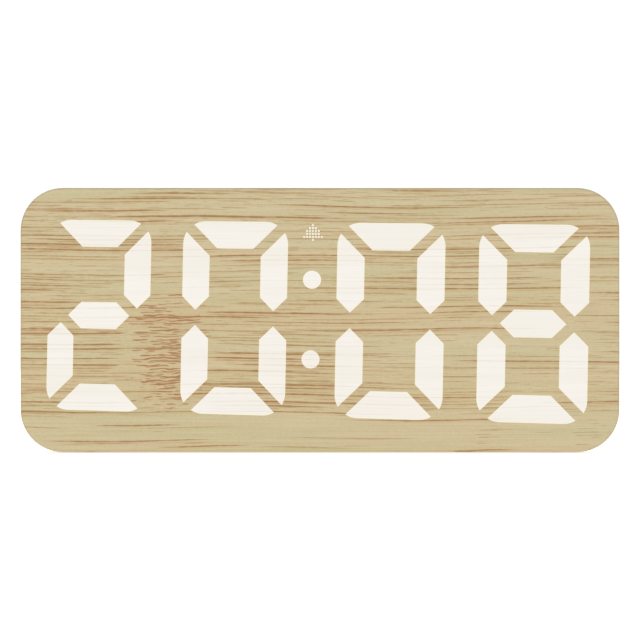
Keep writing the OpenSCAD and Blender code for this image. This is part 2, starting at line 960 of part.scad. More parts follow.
module rear_cover() {
    seat = lip_d + cover_screw_wall;
    screw_tip = control_front + control_screw_l;
    color("Tan")
        difference() {
            union() {
                cover_shell();
                corner_blocks(half_wall + 3 * seat_gap, [lip_d, inner_back + join]);
                bay_walls();
                control_posts(control_post_r, [control_rear, inner_back + join]);
            }
            bay_cuts();
            key_cuts();
            inlet_cuts();
            sound_holes();
            control_posts(board_screw_r + run_gap, [control_rear - past, screw_tip + screw_tip_room]);
            at_corners() {
                rod(0, 0, [lip_d - past, seat + past], cover_screw_r + seat_gap);
                rod(0, 0, [seat, depth + past], cover_head_r + cover_head_gap);
            }
        }
}

module cover_screws() {
    color("Silver")
        at_corners()
            screw(0, 0, lip_d + cover_screw_wall, -1,
                cover_screw_r, cover_screw_l, cover_head_r, cover_head_h);
}

module rubber_feet() {
    r = foot_d / 2;
    h = floor_gap + case_inset + foot_sink;
    color("DimGray")
        for (side = [-1, 1], d = foot_depths)
            translate([side * foot_u, front_y + d, 0])
                rotate_extrude()
                    polygon([[0, 0], [r - foot_edge, 0], [r, foot_edge], [r, h], [0, h]]);
}

// Snooze bar, its springs and its switch

module snooze_bar() {
    proud = wall + snooze_proud;
    edge = snooze_edge_r;
    inside = snooze_under + snooze_ear_t / 2;
    color("Tan") {
        translate([0, front_y + snooze_at, middle_z + inside_top]) {
            ring(snooze_w, snooze_d, snooze_r)
                polygon(concat(
                    [[0, proud], [0, 0], [snooze_r, 0]],
                    arc([snooze_r - edge, proud - edge], edge, 0, 90)
                ));
            translate([snooze_r - snooze_w / 2, snooze_r - snooze_d / 2, 0])
                cube([snooze_w - 2 * snooze_r, snooze_d - 2 * snooze_r, proud]);
            translate([0, 0, -snooze_ear_t])
                pad(snooze_w + 2 * snooze_ear, snooze_d, snooze_r, snooze_ear_t);
        }
        upright_rod(0, [control_v[1] + snooze_plunger_out, inside], snooze_at, snooze_stem_r);
        for (side = [-1, 1])
            upright_rod(side * snooze_spring_u, [snooze_under - spring_peg_l, inside], snooze_at,
                spring_peg_r);
    }
}

module snooze_springs() {
    r = snooze_coil_r;
    echo("Least gap between turns of a snooze spring",
        spring_gap(snooze_turns, snooze_spring_l, r, r, snooze_wire_r));
    color("Silver")
        for (side = [-1, 1])
            translate([side * snooze_spring_u, front_y + snooze_at, middle_z + snooze_shelf_v])
                spring(snooze_turns, snooze_spring_l, r, r, snooze_wire_r);
}

module snooze_switch() {
    top = control_v[1];
    half = switch_w / 2;
    color("DimGray")
        difference() {
            block([-half, half], [top - switch_h, top], [control_front - switch_w, control_front]);
            upright_rod(0, [top - switch_well, top + past], snooze_at, plunger_r + run_gap);
        }
}

module snooze_plunger() {
    top = control_v[1];
    color("Black")
        upright_rod(0, [top - plunger_in, top + snooze_plunger_out], snooze_at, plunger_r);
}

// Keys on the back

module button(k) {
    r = button_d / 2;
    rear = depth - dish_depth + button_proud;
    flange_d = inner_back - button_flange;
    color("DimGray")
        turned(button_u[k], button_row_v, [
            [0, plunger_top],
            [button_stem_r, plunger_top],
            [button_stem_r, flange_d],
            [r + button_flange, flange_d],
            [r + button_flange, inner_back],
            [r, inner_back],
            [r, rear - button_edge],
            [r - button_edge, rear],
            [r * 0.7, rear],
            [r * 0.35, rear - button_hollow * 0.8],
            [0, rear - button_hollow],
        ]);
}

module plunger(k) {
    color("Black")
        rod(button_u[k], button_row_v, [control_rear + tact_h - plunger_in, plunger_top], plunger_r);
}

module button_switches() {
    half = switch_w / 2;
    color("DimGray")
        for (u = button_u)
            difference() {
                block([u - half, u + half], [button_row_v - half, button_row_v + half],
                    [control_rear, control_rear + tact_h]);
                rod(u, button_row_v, [control_rear + tact_h - tact_well, control_rear + tact_h + past],
                    plunger_r + run_gap);
            }
}

module alarm_slider() {
    u = slider_rest_u;
    v = button_row_v;
    rear = depth - dish_depth + button_proud;
    plate_d = inner_back - slider_plate_t;
    plate_w = slider_w + 2 * slider_travel + 2 * slide_gap + 2 * slider_cover;
    ridge = slider_w / 5;
    color("DimGray")
        difference() {
            union() {
                block([u - slider_w / 2, u + slider_w / 2], [v - slider_h / 2, v + slider_h / 2],
                    [plate_d, rear]);
                block([u - plate_w / 2, u + plate_w / 2], [v - slider_plate_h / 2, v + slider_plate_h / 2],
                    [plate_d, inner_back]);
                block([u - slider_stem_w / 2, u + slider_stem_w / 2],
                    [v - slider_stem_h / 2, v + slider_stem_h / 2],
                    [control_rear + slider_switch_h - slider_stem_in, plate_d + slider_plate_t / 2]);
            }
            for (side = [-1, 1])
                block([u + side * ridge - ridge / 2, u + side * ridge + ridge / 2],
                    [v - slider_h, v + slider_h], [rear - ridge_h, rear + past]);
        }
}

module alarm_switch() {
    u = slider_u;
    v = button_row_v;
    slot_u = slider_stem_w / 2 + slider_travel / 2 + slide_gap;
    slot_v = slider_stem_h / 2 + slide_gap;
    case_u = slot_u + slider_switch_wall;
    case_v = slot_v + slider_switch_wall;
    top = control_rear + slider_switch_h;
    color("Silver")
        difference() {
            block([u - case_u, u + case_u], [v - case_v, v + case_v], [control_rear, top]);
            block([u - slot_u, u + slot_u], [v - slot_v, v + slot_v], [top - slider_well, top + past]);
        }
}

// Control board and what it carries

module control_board() {
    color("DarkGreen")
        difference() {
            block(control_u, control_v, [control_front, control_rear]);
            control_posts(board_screw_r + seat_gap, [control_front - past, control_rear + past]);
        }
}

module board_screws() {
    color("Silver")
        for (p = control_fixes)
            screw(p.x, p.y, control_front, 1, board_screw_r, control_screw_l, board_head_r, board_head_h);
}

module clock_chip() {
    color("DimGray")
        block(chip_u, chip_v, [control_front - chip_t, control_front]);
}

module crystal() {
    color("Silver")
        upright_pad(crystal_u, 0, crystal_w, crystal_h, crystal_h / 2 - run_gap,
            [control_front - crystal_t, control_front]);
}

module capacitors() {
    color("DarkSlateBlue")
        for (u = capacitor_u)
            rod(u, capacitor_v, [control_front - capacitor_l, control_front], capacitor_r);
}

module link_strip(d) {
    block([link_u - link_w / 2, link_u + link_w / 2], [link_v - link_t / 2, link_v + link_t / 2], d);
}

module link_pin(k, w, d) {
    u = link_u + (k - (link_pins_n - 1) / 2) * link_pitch;
    block([u - w / 2, u + w / 2], [link_v - w / 2, link_v + w / 2], d);
}

module link_socket() {
    hole_w = link_pin_w + 2 * link_pin_gap;
    color("DimGray")
        difference() {
            link_strip([display_rear, socket_rear]);
            for (k = [0:link_pins_n - 1])
                link_pin(k, hole_w, [socket_rear - link_pin_in - join, socket_rear + past]);
        }
}

module link_pins() {
    color("DarkKhaki") {
        link_strip([socket_rear, control_front]);
        for (k = [0:link_pins_n - 1])
            link_pin(k, link_pin_w, [socket_rear - link_pin_in, control_front]);
    }
}

module buzzer() {
    top = control_rear + buzzer_h;
    color("DimGray")
        difference() {
            rod(buzzer_u, buzzer_v, [control_rear, top], buzzer_r);
            rod(buzzer_u, buzzer_v, [control_rear + buzzer_floor, top + past], buzzer_mouth_r);
        }
}

// The inlet's round-ended shape between two depths, drawn smaller by a step
module inlet_shape(step, d) {
    w = inlet_w - 2 * step;
    h = inlet_h - 2 * step;
    upright_pad(inlet_u, inlet_v, w, h, h / 2 - run_gap, d);
}

module usb_shell() {
    color("Silver")
        difference() {
            inlet_shape(0, [control_rear, inlet_rear]);
            inlet_shape(inlet_wall, [control_rear + inlet_wall, inlet_rear + past]);
        }
}

module usb_tongue() {
    tip = inlet_rear - tongue_sink;
    root = tip - tongue_l;
    color("DimGray") {
        inlet_shape(inlet_wall + seat_gap, [control_rear + inlet_wall, root]);
        block([inlet_u - tongue_w / 2, inlet_u + tongue_w / 2],
            [inlet_v - tongue_t / 2, inlet_v + tongue_t / 2], [root - join, tip]);
    }
}

// Battery bay

// Height of a cell's axis, and the way that its tip points
function cell_v(k) = bay_v[0] + cell_gap + cell_d / 2 + k * (cell_d + cell_gap);
function cell_way(k) = k % 2 == 0 ? 1 : -1;

// Puts its children on a cell's axis with z along it, from the spring's plate to the tip's plate
module along_cell(k) {
    middle = (bay_u[0] + bay_u[1]) / 2;
    translate([middle - cell_way(k) * (bay_len / 2 - contact_t), front_y + cell_axis_d, middle_z + cell_v(k)])
        rotate([0, 90 * cell_way(k), 0])
            children();
}

module battery_door() {
    latch_v = [door_v[1] - latch_in - latch_t, door_v[1] - latch_in];
    color("Tan")
        difference() {
            union() {
                door_outline(0, hinge_v, [hinge_d, depth]);
                cross_rod(door_u, hinge_v, hinge_d, barrel_r);
                cross_rod([door_u[0] - hinge_pin_l, door_u[1] + hinge_pin_l], hinge_v, hinge_d, hinge_pin_r);
                block([door_mid_u - latch_w / 2, door_mid_u + latch_w / 2], latch_v,
                    [hinge_d - latch_l, hinge_d + join]);
            }
            for (k = [0:2]) {
                low = door_v[1] - grip_in - k * grip_pitch;
                block([door_mid_u - grip_w / 2, door_mid_u + grip_w / 2], [low, low + grip_h],
                    [depth - grip_depth, depth + past]);
            }
        }
}

module battery_cells() {
    r = cell_d / 2;
    e = cell_edge;
    body_l = cell_l - cell_tip_l;
    color("SlateGray")
        for (k = [0:cells - 1])
            along_cell(k)
                translate([0, 0, cell_spring_l])
                    rotate_extrude()
                        polygon([
                            [0, 0], [r - e, 0], [r, e], [r, body_l - e],
                            [r - e, body_l], [cell_tip_r, body_l], [cell_tip_r, cell_l], [0, cell_l],
                        ]);
}

module battery_springs() {
    echo("Least gap between turns of a cell spring",
        spring_gap(cell_turns, cell_spring_l, cell_coil_r, cell_coil_tip_r, cell_wire_r));
    color("Silver")
        for (k = [0:cells - 1])
            along_cell(k)
                spring(cell_turns, cell_spring_l, cell_coil_r, cell_coil_tip_r, cell_wire_r);
}

module battery_contacts() {
    color("Silver")
        for (k = [0:cells - 1])
            along_cell(k) {
                translate([-contact_w / 2, -contact_w / 2, -contact_t])
                    cube([contact_w, contact_w, contact_t]);
                translate([-contact_w / 2, -contact_w / 2, cell_spring_l + cell_l])
                    cube([contact_w, contact_w, contact_t]);
            }
}

bamboo_face();
digit_segments(0);  // digit_1_segments
digit_segments(1);  // digit_2_segments
digit_segments(2);  // digit_3_segments
digit_segments(3);  // digit_4_segments
colon_dots();
alarm_indicator();
lens_plate();
segment_reflector();
display_board();
segment_leds();
display_driver();
display_screws();
front_frame();
rear_cover();
cover_screws();
rubber_feet();
snooze_bar();
snooze_plunger();
snooze_switch();
snooze_springs();
button(3);  // set_button
button(2);  // up_button
button(1);  // down_button
button(0);  // light_button
plunger(3);  // set_plunger
plunger(2);  // up_plunger
plunger(1);  // down_plunger
plunger(0);  // light_plunger
button_switches();
alarm_slider();
alarm_switch();
control_board();
clock_chip();
crystal();
capacitors();
board_screws();
link_socket();
link_pins();
buzzer();
usb_shell();
usb_tongue();
battery_door();
battery_cells();
battery_springs();
battery_contacts();
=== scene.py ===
# %% [markdown]
# # A bamboo alarm clock
# The solids of this clock come from a CAD model: a bamboo plate with glowing digits, a moulded case, keys
# on the back and a battery bay. Blender gives them their looks. The model is loaded as a fixed frame in
# metres, so a new piece goes straight to the place that a solid already has.

# %% Load the solids
import json
import math
import bmesh
import bpy
from mathutils import Matrix, Vector


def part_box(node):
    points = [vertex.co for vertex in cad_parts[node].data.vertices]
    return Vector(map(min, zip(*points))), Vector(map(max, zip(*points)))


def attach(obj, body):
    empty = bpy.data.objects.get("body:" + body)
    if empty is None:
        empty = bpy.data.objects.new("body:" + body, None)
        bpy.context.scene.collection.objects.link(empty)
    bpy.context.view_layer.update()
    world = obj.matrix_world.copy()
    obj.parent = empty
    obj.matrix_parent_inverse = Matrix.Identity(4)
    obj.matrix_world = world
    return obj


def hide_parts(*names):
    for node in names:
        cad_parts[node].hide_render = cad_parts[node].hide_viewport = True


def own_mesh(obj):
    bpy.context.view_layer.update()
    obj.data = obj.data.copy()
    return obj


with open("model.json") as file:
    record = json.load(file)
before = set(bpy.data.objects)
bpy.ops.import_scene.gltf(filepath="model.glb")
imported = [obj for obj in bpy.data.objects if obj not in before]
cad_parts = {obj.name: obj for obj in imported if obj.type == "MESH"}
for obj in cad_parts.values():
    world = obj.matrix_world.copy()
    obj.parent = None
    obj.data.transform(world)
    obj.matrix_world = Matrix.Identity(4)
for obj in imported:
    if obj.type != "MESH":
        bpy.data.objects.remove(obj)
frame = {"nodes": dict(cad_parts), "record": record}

MM = 0.001
nodes = frame["nodes"]
scene = bpy.context.scene
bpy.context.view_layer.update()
face_low, face_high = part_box("bamboo_face")
face_width = face_high.x - face_low.x
middle_z = (face_low.z + face_high.z) / 2
print("Solids:", len(nodes), "face width in mm:", round(face_width / MM, 2))

# %% [markdown]
# ## Camera
# The photograph looks straight at the face, with no side of the case in sight. A long lens keeps it that
# way: the case behind the plate stays hidden because it is a little smaller than the plate. The plate's
# width takes 599.3 of the picture's 640 pixels, which sets the distance.

# %% Camera
FACE_PIXELS, PICTURE_PIXELS = 599.3, 640
LENS_MM, SENSOR_MM = 110, 36
NEAREST = 0.01
camera_data = bpy.data.cameras.new("camera")
camera_data.lens = LENS_MM
camera_data.sensor_width = SENSOR_MM
camera_data.clip_start = NEAREST
camera = bpy.data.objects.new("camera", camera_data)
scene.collection.objects.link(camera)
view_width = face_width * PICTURE_PIXELS / FACE_PIXELS
distance = view_width * LENS_MM / SENSOR_MM
camera.location = (0, face_low.y - distance, middle_z)
camera.rotation_euler = (math.radians(90), 0, 0)
scene.camera = camera
print("Camera distance in mm:", round(distance / MM))

# %% [markdown]
# ## Studio
# Shop pictures like this one are taken in a light tent: pale floor, white surround, no hard shadow. A
# white world gives the even light, and three large soft lamps give the case some shape when it is seen
# from other sides. The Standard view transform shows each colour as it is, without a film curve.

# %% World
TENT_LIGHT, TENT_SEEN = 0.50, 1.05
WHITE = (1, 1, 1, 1)
scene.view_settings.view_transform = "Standard"
scene.view_settings.look = "None"

world = bpy.data.worlds.new("light_tent")
scene.world = world
world.use_nodes = True
tent = world.node_tree.nodes
lighting = tent["Background"]
surround = tent.new("ShaderNodeBackground")
for background, strength in ((lighting, TENT_LIGHT), (surround, TENT_SEEN)):
    background.inputs["Color"].default_value = WHITE
    background.inputs["Strength"].default_value = strength
ray = tent.new("ShaderNodeLightPath")
choice = tent.new("ShaderNodeMixShader")
links = world.node_tree.links
links.new(ray.outputs["Is Camera Ray"], choice.inputs[0])
links.new(lighting.outputs[0], choice.inputs[1])
links.new(surround.outputs[0], choice.inputs[2])
links.new(choice.outputs[0], tent["World Output"].inputs["Surface"])
print("Light of the tent:", TENT_LIGHT, "as the camera sees it:", TENT_SEEN)

# %% Lamps and floor
AIM = Vector((0, 0, 0.04))
LAMPS = (("key_lamp", (-0.25, -0.55, 0.95), 0.9, 3.6),
         ("side_lamp", (0.85, 0.10, 0.60), 0.6, 1.6),
         ("back_lamp", (-0.45, 0.75, 0.70), 0.7, 3.0))
for name, place, size, watts in LAMPS:
    lamp_data = bpy.data.lights.new(name, "AREA")
    lamp_data.size = size
    lamp_data.energy = watts
    lamp = bpy.data.objects.new(name, lamp_data)
    lamp.location = place
    lamp.rotation_euler = (AIM - Vector(place)).to_track_quat("-Z", "Y").to_euler()
    scene.collection.objects.link(lamp)

FLOOR_REACH = 0.9
FLOOR_CORNERS = ((-1, -1), (1, -1), (1, 1), (-1, 1))
FLOOR_GREY, FLOOR_ROUGHNESS, FLOOR_GLOW = 0.82, 0.9, 0.50
floor_mesh = bpy.data.meshes.new("floor")
floor_mesh.from_pydata([(x * FLOOR_REACH, y * FLOOR_REACH, 0) for x, y in FLOOR_CORNERS], [], [(0, 1, 2, 3)])
floor = bpy.data.objects.new("floor", floor_mesh)
scene.collection.objects.link(floor)
floor_finish = bpy.data.materials.new("pale_floor")
floor_finish.use_nodes = True
floor_sockets = floor_finish.node_tree.nodes["Principled BSDF"].inputs
floor_sockets["Base Color"].default_value = (FLOOR_GREY, FLOOR_GREY, FLOOR_GREY, 1)
floor_sockets["Roughness"].default_value = FLOOR_ROUGHNESS
floor_sockets["Emission Color"].default_value = WHITE
floor_sockets["Emission Strength"].default_value = FLOOR_GLOW
floor_mesh.materials.append(floor_finish)
print("Lamps:", len(LAMPS), "floor width in m:", 2 * FLOOR_REACH)


# %% [markdown]
# ## A bench for finishes
# Every finish is a small tree of shader nodes. The class below keeps the code short: each method adds one
# node and gives back its output, so a tree reads like a sum. Patterns read Object coordinates in
# millimetres, which stay with the piece when it moves.

# %% Helper for shader trees
class Finish:
    """A material whose nodes are added one by one."""

    def __init__(self, name, roughness=0.5, specular=0.5):
        self.material = bpy.data.materials.new(name)
        self.material.use_nodes = True
        self.tree = self.material.node_tree
        self.shader = self.tree.nodes["Principled BSDF"]
        self.shader.inputs["Roughness"].default_value = roughness
        self.shader.inputs["Specular IOR Level"].default_value = specular

    def add(self, kind, **settings):
        node = self.tree.nodes.new(kind)
        for key, value in settings.items():
            setattr(node, key, value)
        return node

    def put(self, socket, value):
        """Links an output to a socket, or sets the socket to a number or colour."""
        if isinstance(value, bpy.types.NodeSocket):
            self.tree.links.new(value, socket)
        elif isinstance(value, (tuple, list)) and len(value) == 3 and len(socket.default_value) == 4:
            socket.default_value = (*value, 1)
        else:
            socket.default_value = value

    def set(self, name, value):
        """Puts a value on the shader's own socket."""
        self.put(self.shader.inputs[name], value)

    def math(self, operation, a, b=0.0, c=0.0):
        node = self.add("ShaderNodeMath", operation=operation)
        for socket, value in zip(node.inputs, (a, b, c)):
            self.put(socket, value)
        return node.outputs[0]

    def step(self, value, low, high, to_low=0.0, to_high=1.0):
        """A smooth step from to_low at low to to_high at high."""
        node = self.add("ShaderNodeMapRange", interpolation_type="SMOOTHSTEP", clamp=True)
        for name, item in (("Value", value), ("From Min", low), ("From Max", high),
                           ("To Min", to_low), ("To Max", to_high)):
            self.put(node.inputs[name], item)
        return node.outputs["Result"]

    def vector(self, x, y, z):
        node = self.add("ShaderNodeCombineXYZ")
        for socket, value in zip(node.inputs, (x, y, z)):
            self.put(socket, value)
        return node.outputs[0]

    def place(self):
        """Object coordinates in millimetres from the middle of the face: across, inwards and up."""
        coordinates = self.add("ShaderNodeTexCoord").outputs["Object"]
        node = self.add("ShaderNodeMapping")
        node.inputs["Location"].default_value = (0, 0, -middle_z / MM)
        node.inputs["Scale"].default_value = (1 / MM, 1 / MM, 1 / MM)
        self.put(node.inputs["Vector"], coordinates)
        parts = self.add("ShaderNodeSeparateXYZ")
        self.put(parts.inputs[0], node.outputs[0])
        return parts.outputs[0], parts.outputs[1], parts.outputs[2]

    def noise(self, vector, scale=1.0, detail=0.0, roughness=0.5):
        node = self.add("ShaderNodeTexNoise")
        self.put(node.inputs["Vector"], vector)
        for name, value in (("Scale", scale), ("Detail", detail), ("Roughness", roughness)):
            self.put(node.inputs[name], value)
        return node.outputs["Fac"]

    def cells(self, across, up, spacing):
        """How far a point is from the middle of its cell, as a share of the spacing."""
        node = self.add("ShaderNodeTexVoronoi", voronoi_dimensions="2D")
        self.put(node.inputs["Vector"], self.vector(across, up, 0.0))
        node.inputs["Scale"].default_value = 1 / spacing
        return node.outputs["Distance"]

    def mix(self, share, a, b):
        node = self.add("ShaderNodeMix", data_type="RGBA")
        self.put(node.inputs[0], share)
        self.put(node.inputs[6], a)
        self.put(node.inputs[7], b)
        return node.outputs[2]

    def bump(self, height, strength, depth_mm):
        node = self.add("ShaderNodeBump")
        node.inputs["Strength"].default_value = strength
        node.inputs["Distance"].default_value = depth_mm * MM
        self.put(node.inputs["Height"], height)
        self.put(self.shader.inputs["Normal"], node.outputs[0])


def linear(red, green, blue):
    """A colour as seen on a screen, from 0 to 255, as linear light."""
    def one(level):
        level = level / 255
        return level / 12.92 if level <= 0.04045 else ((level + 0.055) / 1.055) ** 2.4
    return one(red), one(green), one(blue)


def painted(f, colour, masks, layers):
    """Lays tones over a ground colour. A layer is the name of its mask, its share and its tone."""
    for mask, share, tone in layers:
        colour = f.mix(f.math("MULTIPLY", masks[mask], share), colour, linear(*tone))
    return colour


def dress(names, finish):
    """Gives solids a finish in all their material slots."""
    for name in names:
        slots = nodes[name].data.materials
        slots.clear()
        slots.append(finish.material)


print("Half grey in linear light:", round(linear(128, 128, 128)[0], 3))

# %% [markdown]
# ## Bamboo
# The plate is flat-sliced bamboo. Its fibre bundles run from side to side and show as thin brown lines
# with pointed ends, each with a paler orange band beside it. One knuckle of the cane crosses the plate at
# the left, where the lines turn into short, wavy, redder strokes. Near the lower right corner are a few
# short dashes, and the board has two warmer strips.
#
# Plain stretched noise gives blots as often as lines. So the plate is cut into thin rows here: each row
# holds one line at a chance height, and a noise along the row makes it swell and fade. A line is then
# never thicker than it should be, and it always ends in a point.

# %% Places and noises on the plate
PLATE_FRONT = face_low.y / MM
SLIM_TO_THE_RIGHT = (-40.0, 40.0, 1.0, 0.82)


class Plate:
    """Places on the plate in millimetres, how slim its lines are there, and noises along its fibres."""

    def __init__(self, f):
        self.f = f
        self.u, self.w, self.v = f.place()
        self.inward = f.math("SUBTRACT", self.w, PLATE_FRONT)
        self.slim = f.step(self.u, *SLIM_TO_THE_RIGHT)

    def stretched(self, long_mm, fine_mm, shift, detail=0.0, roughness=0.5):
        """Noise that is long across the plate and fine in the two other directions."""
        f = self.f
        return f.noise(f.vector(
            f.math("MULTIPLY_ADD", self.u, 1 / long_mm, shift),
            f.math("MULTIPLY_ADD", self.inward, 1 / fine_mm, shift * 0.37),
            f.math("MULTIPLY_ADD", self.v, 1 / fine_mm, shift * 0.71)), detail=detail, roughness=roughness)

    def waver(self, amount, long_mm, fine_mm, shift, detail=0.0):
        """A stretched noise about 0, as an amount to add to a place."""
        noise = self.stretched(long_mm, fine_mm, shift, detail)
        return self.f.math("MULTIPLY", self.f.math("SUBTRACT", noise, 0.5), amount)


print("Front of the plate in mm:", round(PLATE_FRONT, 2))

# %% Zones of the plate
KNUCKLE_MIDDLE, KNUCKLE_RADII, KNUCKLE_FADE = (-43.0, -10.0), (13.5, 22.0), (1.30, 0.35)
KNUCKLE_WAVER = (1.2, 9.0, 1.6, 11.0)
BARE_U, BARE_FADE, BARE_TALL, BARE_QUIET = -53.0, (7.0, 1.0), (1.1, 0.8), 0.7
BARE_WAVER = (11.0, 9.0, 1.1, 15.0)
LOW_BAND, LOW_QUIET = (-25.0, -29.0), 1.12
DASH_PLACES, DASH_FADE = (48.0, 76.0), (8.0, 2.0)


def zones(plate):
    """Masks of the knuckle, of the places with dashes, and of the places that are quiet."""
    f = plate.f
    across = f.math("DIVIDE", f.math("ADD", plate.u, -KNUCKLE_MIDDLE[0]), KNUCKLE_RADII[0])
    up = f.math("DIVIDE", f.math("ADD", plate.v, -KNUCKLE_MIDDLE[1]), KNUCKLE_RADII[1])
    reach = f.math("SQRT", f.math("ADD", f.math("POWER", across, 2.0), f.math("POWER", up, 2.0)))
    reach = f.math("ADD", reach, plate.waver(*KNUCKLE_WAVER))
    low_band = f.step(plate.v, *LOW_BAND)
    near_dashes = f.math("MAXIMUM", *[
        f.step(f.math("ABSOLUTE", f.math("ADD", plate.u, -place)), *DASH_FADE) for place in DASH_PLACES])
    knuckle = f.math("MULTIPLY", f.step(reach, *KNUCKLE_FADE), f.math("SUBTRACT", 1.0, low_band))
    from_bare = f.math("ADD", f.math("ADD", plate.u, -BARE_U), plate.waver(*BARE_WAVER))
    bare = f.math("MULTIPLY", f.step(f.math("ABSOLUTE", from_bare), *BARE_FADE),
                  f.step(f.math("ABSOLUTE", up), *BARE_TALL))
    quiet = f.math("MAXIMUM", f.math("MAXIMUM", knuckle, f.math("MULTIPLY", bare, BARE_QUIET)),
                   f.math("MULTIPLY", low_band, LOW_QUIET))
    return knuckle, f.math("MULTIPLY", low_band, near_dashes), quiet


print("Knuckle across in mm:", 2 * KNUCKLE_RADII[0], "up:", 2 * KNUCKLE_RADII[1])

# %% Rows of lines
# A kind of line has a row height, a length and a thickness in mm, a seed, and the noise where it starts and
# where it is full. The odd factors in rows keep the noises of different rows apart.
LINES = {"strong": (1.60, 56, 0.46, 13.0, 0.47, 0.64),
         "thin": (1.00, 36, 0.34, 29.0, 0.46, 0.66),
         "short": (0.85, 13, 0.32, 47.0, 0.53, 0.70),
         "pores": (0.55, 3.0, 0.24, 59.0, 0.56, 0.72),
         "strokes": (0.95, 8.0, 0.42, 71.0, 0.38, 0.55),
         "ticks": (0.72, 3.5, 0.38, 97.0, 0.41, 0.59),
         "dashes": (0.90, 6.5, 0.30, 113.0, 0.42, 0.62)}
RAGGED_PER_MM, RAGGED_THINNEST, RAGGED_THICKEST = 0.45, 0.60, 1.30
LEAST_HALF = 0.02
BAND_ASIDE, BAND_WIDE = 0.7, 2.6


def rows(plate, kind, height, gate):
    """One line in each row. Gives the mask of the lines, the way off a line, and the line's strength."""
    f = plate.f
    pitch, long_mm, thick_mm, seed, starts, is_full = LINES[kind]
    place = f.math("MULTIPLY_ADD", height, 1 / pitch, seed)
    row = f.math("FLOOR", place)
    draw = f.add("ShaderNodeTexWhiteNoise", noise_dimensions="1D")
    f.put(draw.inputs["W"], f.math("ADD", row, seed * 1.7))
    chance = draw.outputs["Value"]
    offset = f.math("ADD", f.math("FRACT", place), f.math("MULTIPLY_ADD", chance, 0.5, -0.75))
    offset = f.math("MULTIPLY", offset, pitch)
    swell = f.noise(f.vector(f.math("MULTIPLY_ADD", chance, 83.0, f.math("DIVIDE", plate.u, long_mm)),
                             f.math("MULTIPLY", row, 3.7), seed))
    strength = f.step(f.math("ADD", swell, gate), starts, is_full)
    ragged = f.noise(f.vector(f.math("MULTIPLY_ADD", plate.u, RAGGED_PER_MM, seed),
                              f.math("MULTIPLY", row, 5.3), chance), detail=1.0)
    thick = f.math("MULTIPLY", strength, f.step(
        ragged, 0.25, 0.75, RAGGED_THINNEST * thick_mm, RAGGED_THICKEST * thick_mm))
    half = f.math("MAXIMUM", f.math("MULTIPLY", f.math("MULTIPLY", thick, plate.slim), 0.5), LEAST_HALF)
    edge = f.math("DIVIDE", f.math("ABSOLUTE", offset), half)
    line = f.math("MULTIPLY", f.step(edge, 1.15, 0.6), f.step(strength, 0.0, 0.5))
    return line, offset, strength


def band_beside(plate, kind, offset, strength):
    """The soft band beside each line of a kind."""
    f = plate.f
    thick_mm = LINES[kind][2]
    beside = f.math("ABSOLUTE", f.math("ADD", offset, thick_mm * BAND_ASIDE))
    return f.math("MULTIPLY", f.step(beside, thick_mm * BAND_WIDE, 0.0), strength)


print("Kinds of lines:", list(LINES))

# %% All of the grain
# A waver is an amount, then the noise's length and fineness in mm, its shift and its detail.
HEIGHT_WAVERS = ((3.4, 70, 20, 3.1, 0.0), (0.34, 12, 4.0, 8.7, 1.0))
SWIRL_WAVER = (1.5, 5.0, 2.6, 5.3, 1.0)
CROWD_WAVER, CROWD_TO_THE_LEFT = (0.23, 80, 5.0, 21.0, 1.0), -0.0004
QUIET_GATE = -0.15
KNUCKLE_GATE, DASH_GATE, SHUT_GATE = 0.5, 0.46, -0.5
TICK_SHARE, DASH_SHARE, THIN_BAND_SHARE = 0.8, 0.6, 0.6
WARM_STRIPS = ((2.5, 8.0), (-19.0, 8.0))


def bamboo_grain(f):
    """Adds the grain to a finish. Gives its masks by name."""
    plate = Plate(f)
    knuckle, dash_zone, quiet = zones(plate)
    height = f.math("ADD", plate.v, plate.inward)
    for waver in HEIGHT_WAVERS:
        height = f.math("ADD", height, plate.waver(*waver))
    swirled = f.math("ADD", height, plate.waver(*SWIRL_WAVER))
    crowd = f.math("ADD", plate.waver(*CROWD_WAVER), f.math("MULTIPLY", plate.u, CROWD_TO_THE_LEFT))
    gate = f.math("MULTIPLY_ADD", quiet, QUIET_GATE, crowd)
    at_knuckle = f.math("MULTIPLY_ADD", knuckle, KNUCKLE_GATE, SHUT_GATE)
    at_dashes = f.math("MULTIPLY_ADD", dash_zone, DASH_GATE, SHUT_GATE)

    masks = {"knuckle": knuckle}
    bands = {}
    for kind in ("strong", "thin"):
        masks[kind], offset, strength = rows(plate, kind, height, gate)
        bands[kind] = band_beside(plate, kind, offset, strength)
    for kind in ("short", "pores"):
        masks[kind] = rows(plate, kind, height, gate)[0]
    strokes = rows(plate, "strokes", swirled, at_knuckle)[0]
    ticks = f.math("MULTIPLY", rows(plate, "ticks", swirled, at_knuckle)[0], TICK_SHARE)
    dashes = f.math("MULTIPLY", rows(plate, "dashes", height, at_dashes)[0], DASH_SHARE)
    masks["flecks"] = f.math("MAXIMUM", f.math("MAXIMUM", strokes, ticks), dashes)
    masks["bands"] = f.math("MAXIMUM", bands["strong"], f.math("MULTIPLY", bands["thin"], THIN_BAND_SHARE))
    masks["warm"] = f.math("MAXIMUM", *[
        f.step(f.math("ABSOLUTE", f.math("ADD", height, -middle)), half, 1.0)
        for middle, half in WARM_STRIPS])
    masks["fibres"] = plate.stretched(26, 0.26, 80.0, 2.0, 0.6)
    masks["tone"] = plate.stretched(90, 6.0, 90.0, 1.0)
    masks["mottle"] = f.noise(f.vector(plate.u, plate.w, plate.v), 1.6, 3.0, 0.65)
    return masks


print("Warm strips at heights in mm:", [middle for middle, half in WARM_STRIPS])

# %% [markdown]
# ## Ends of the plate
# On the left and right ends the fibre bundles are cut across, so they show as dots there instead of
# lines. A dot pattern on depth and height makes them. The plate's rounded outline is worked out from its
# size, which tells where the wood is near its edge and which way the edge faces.

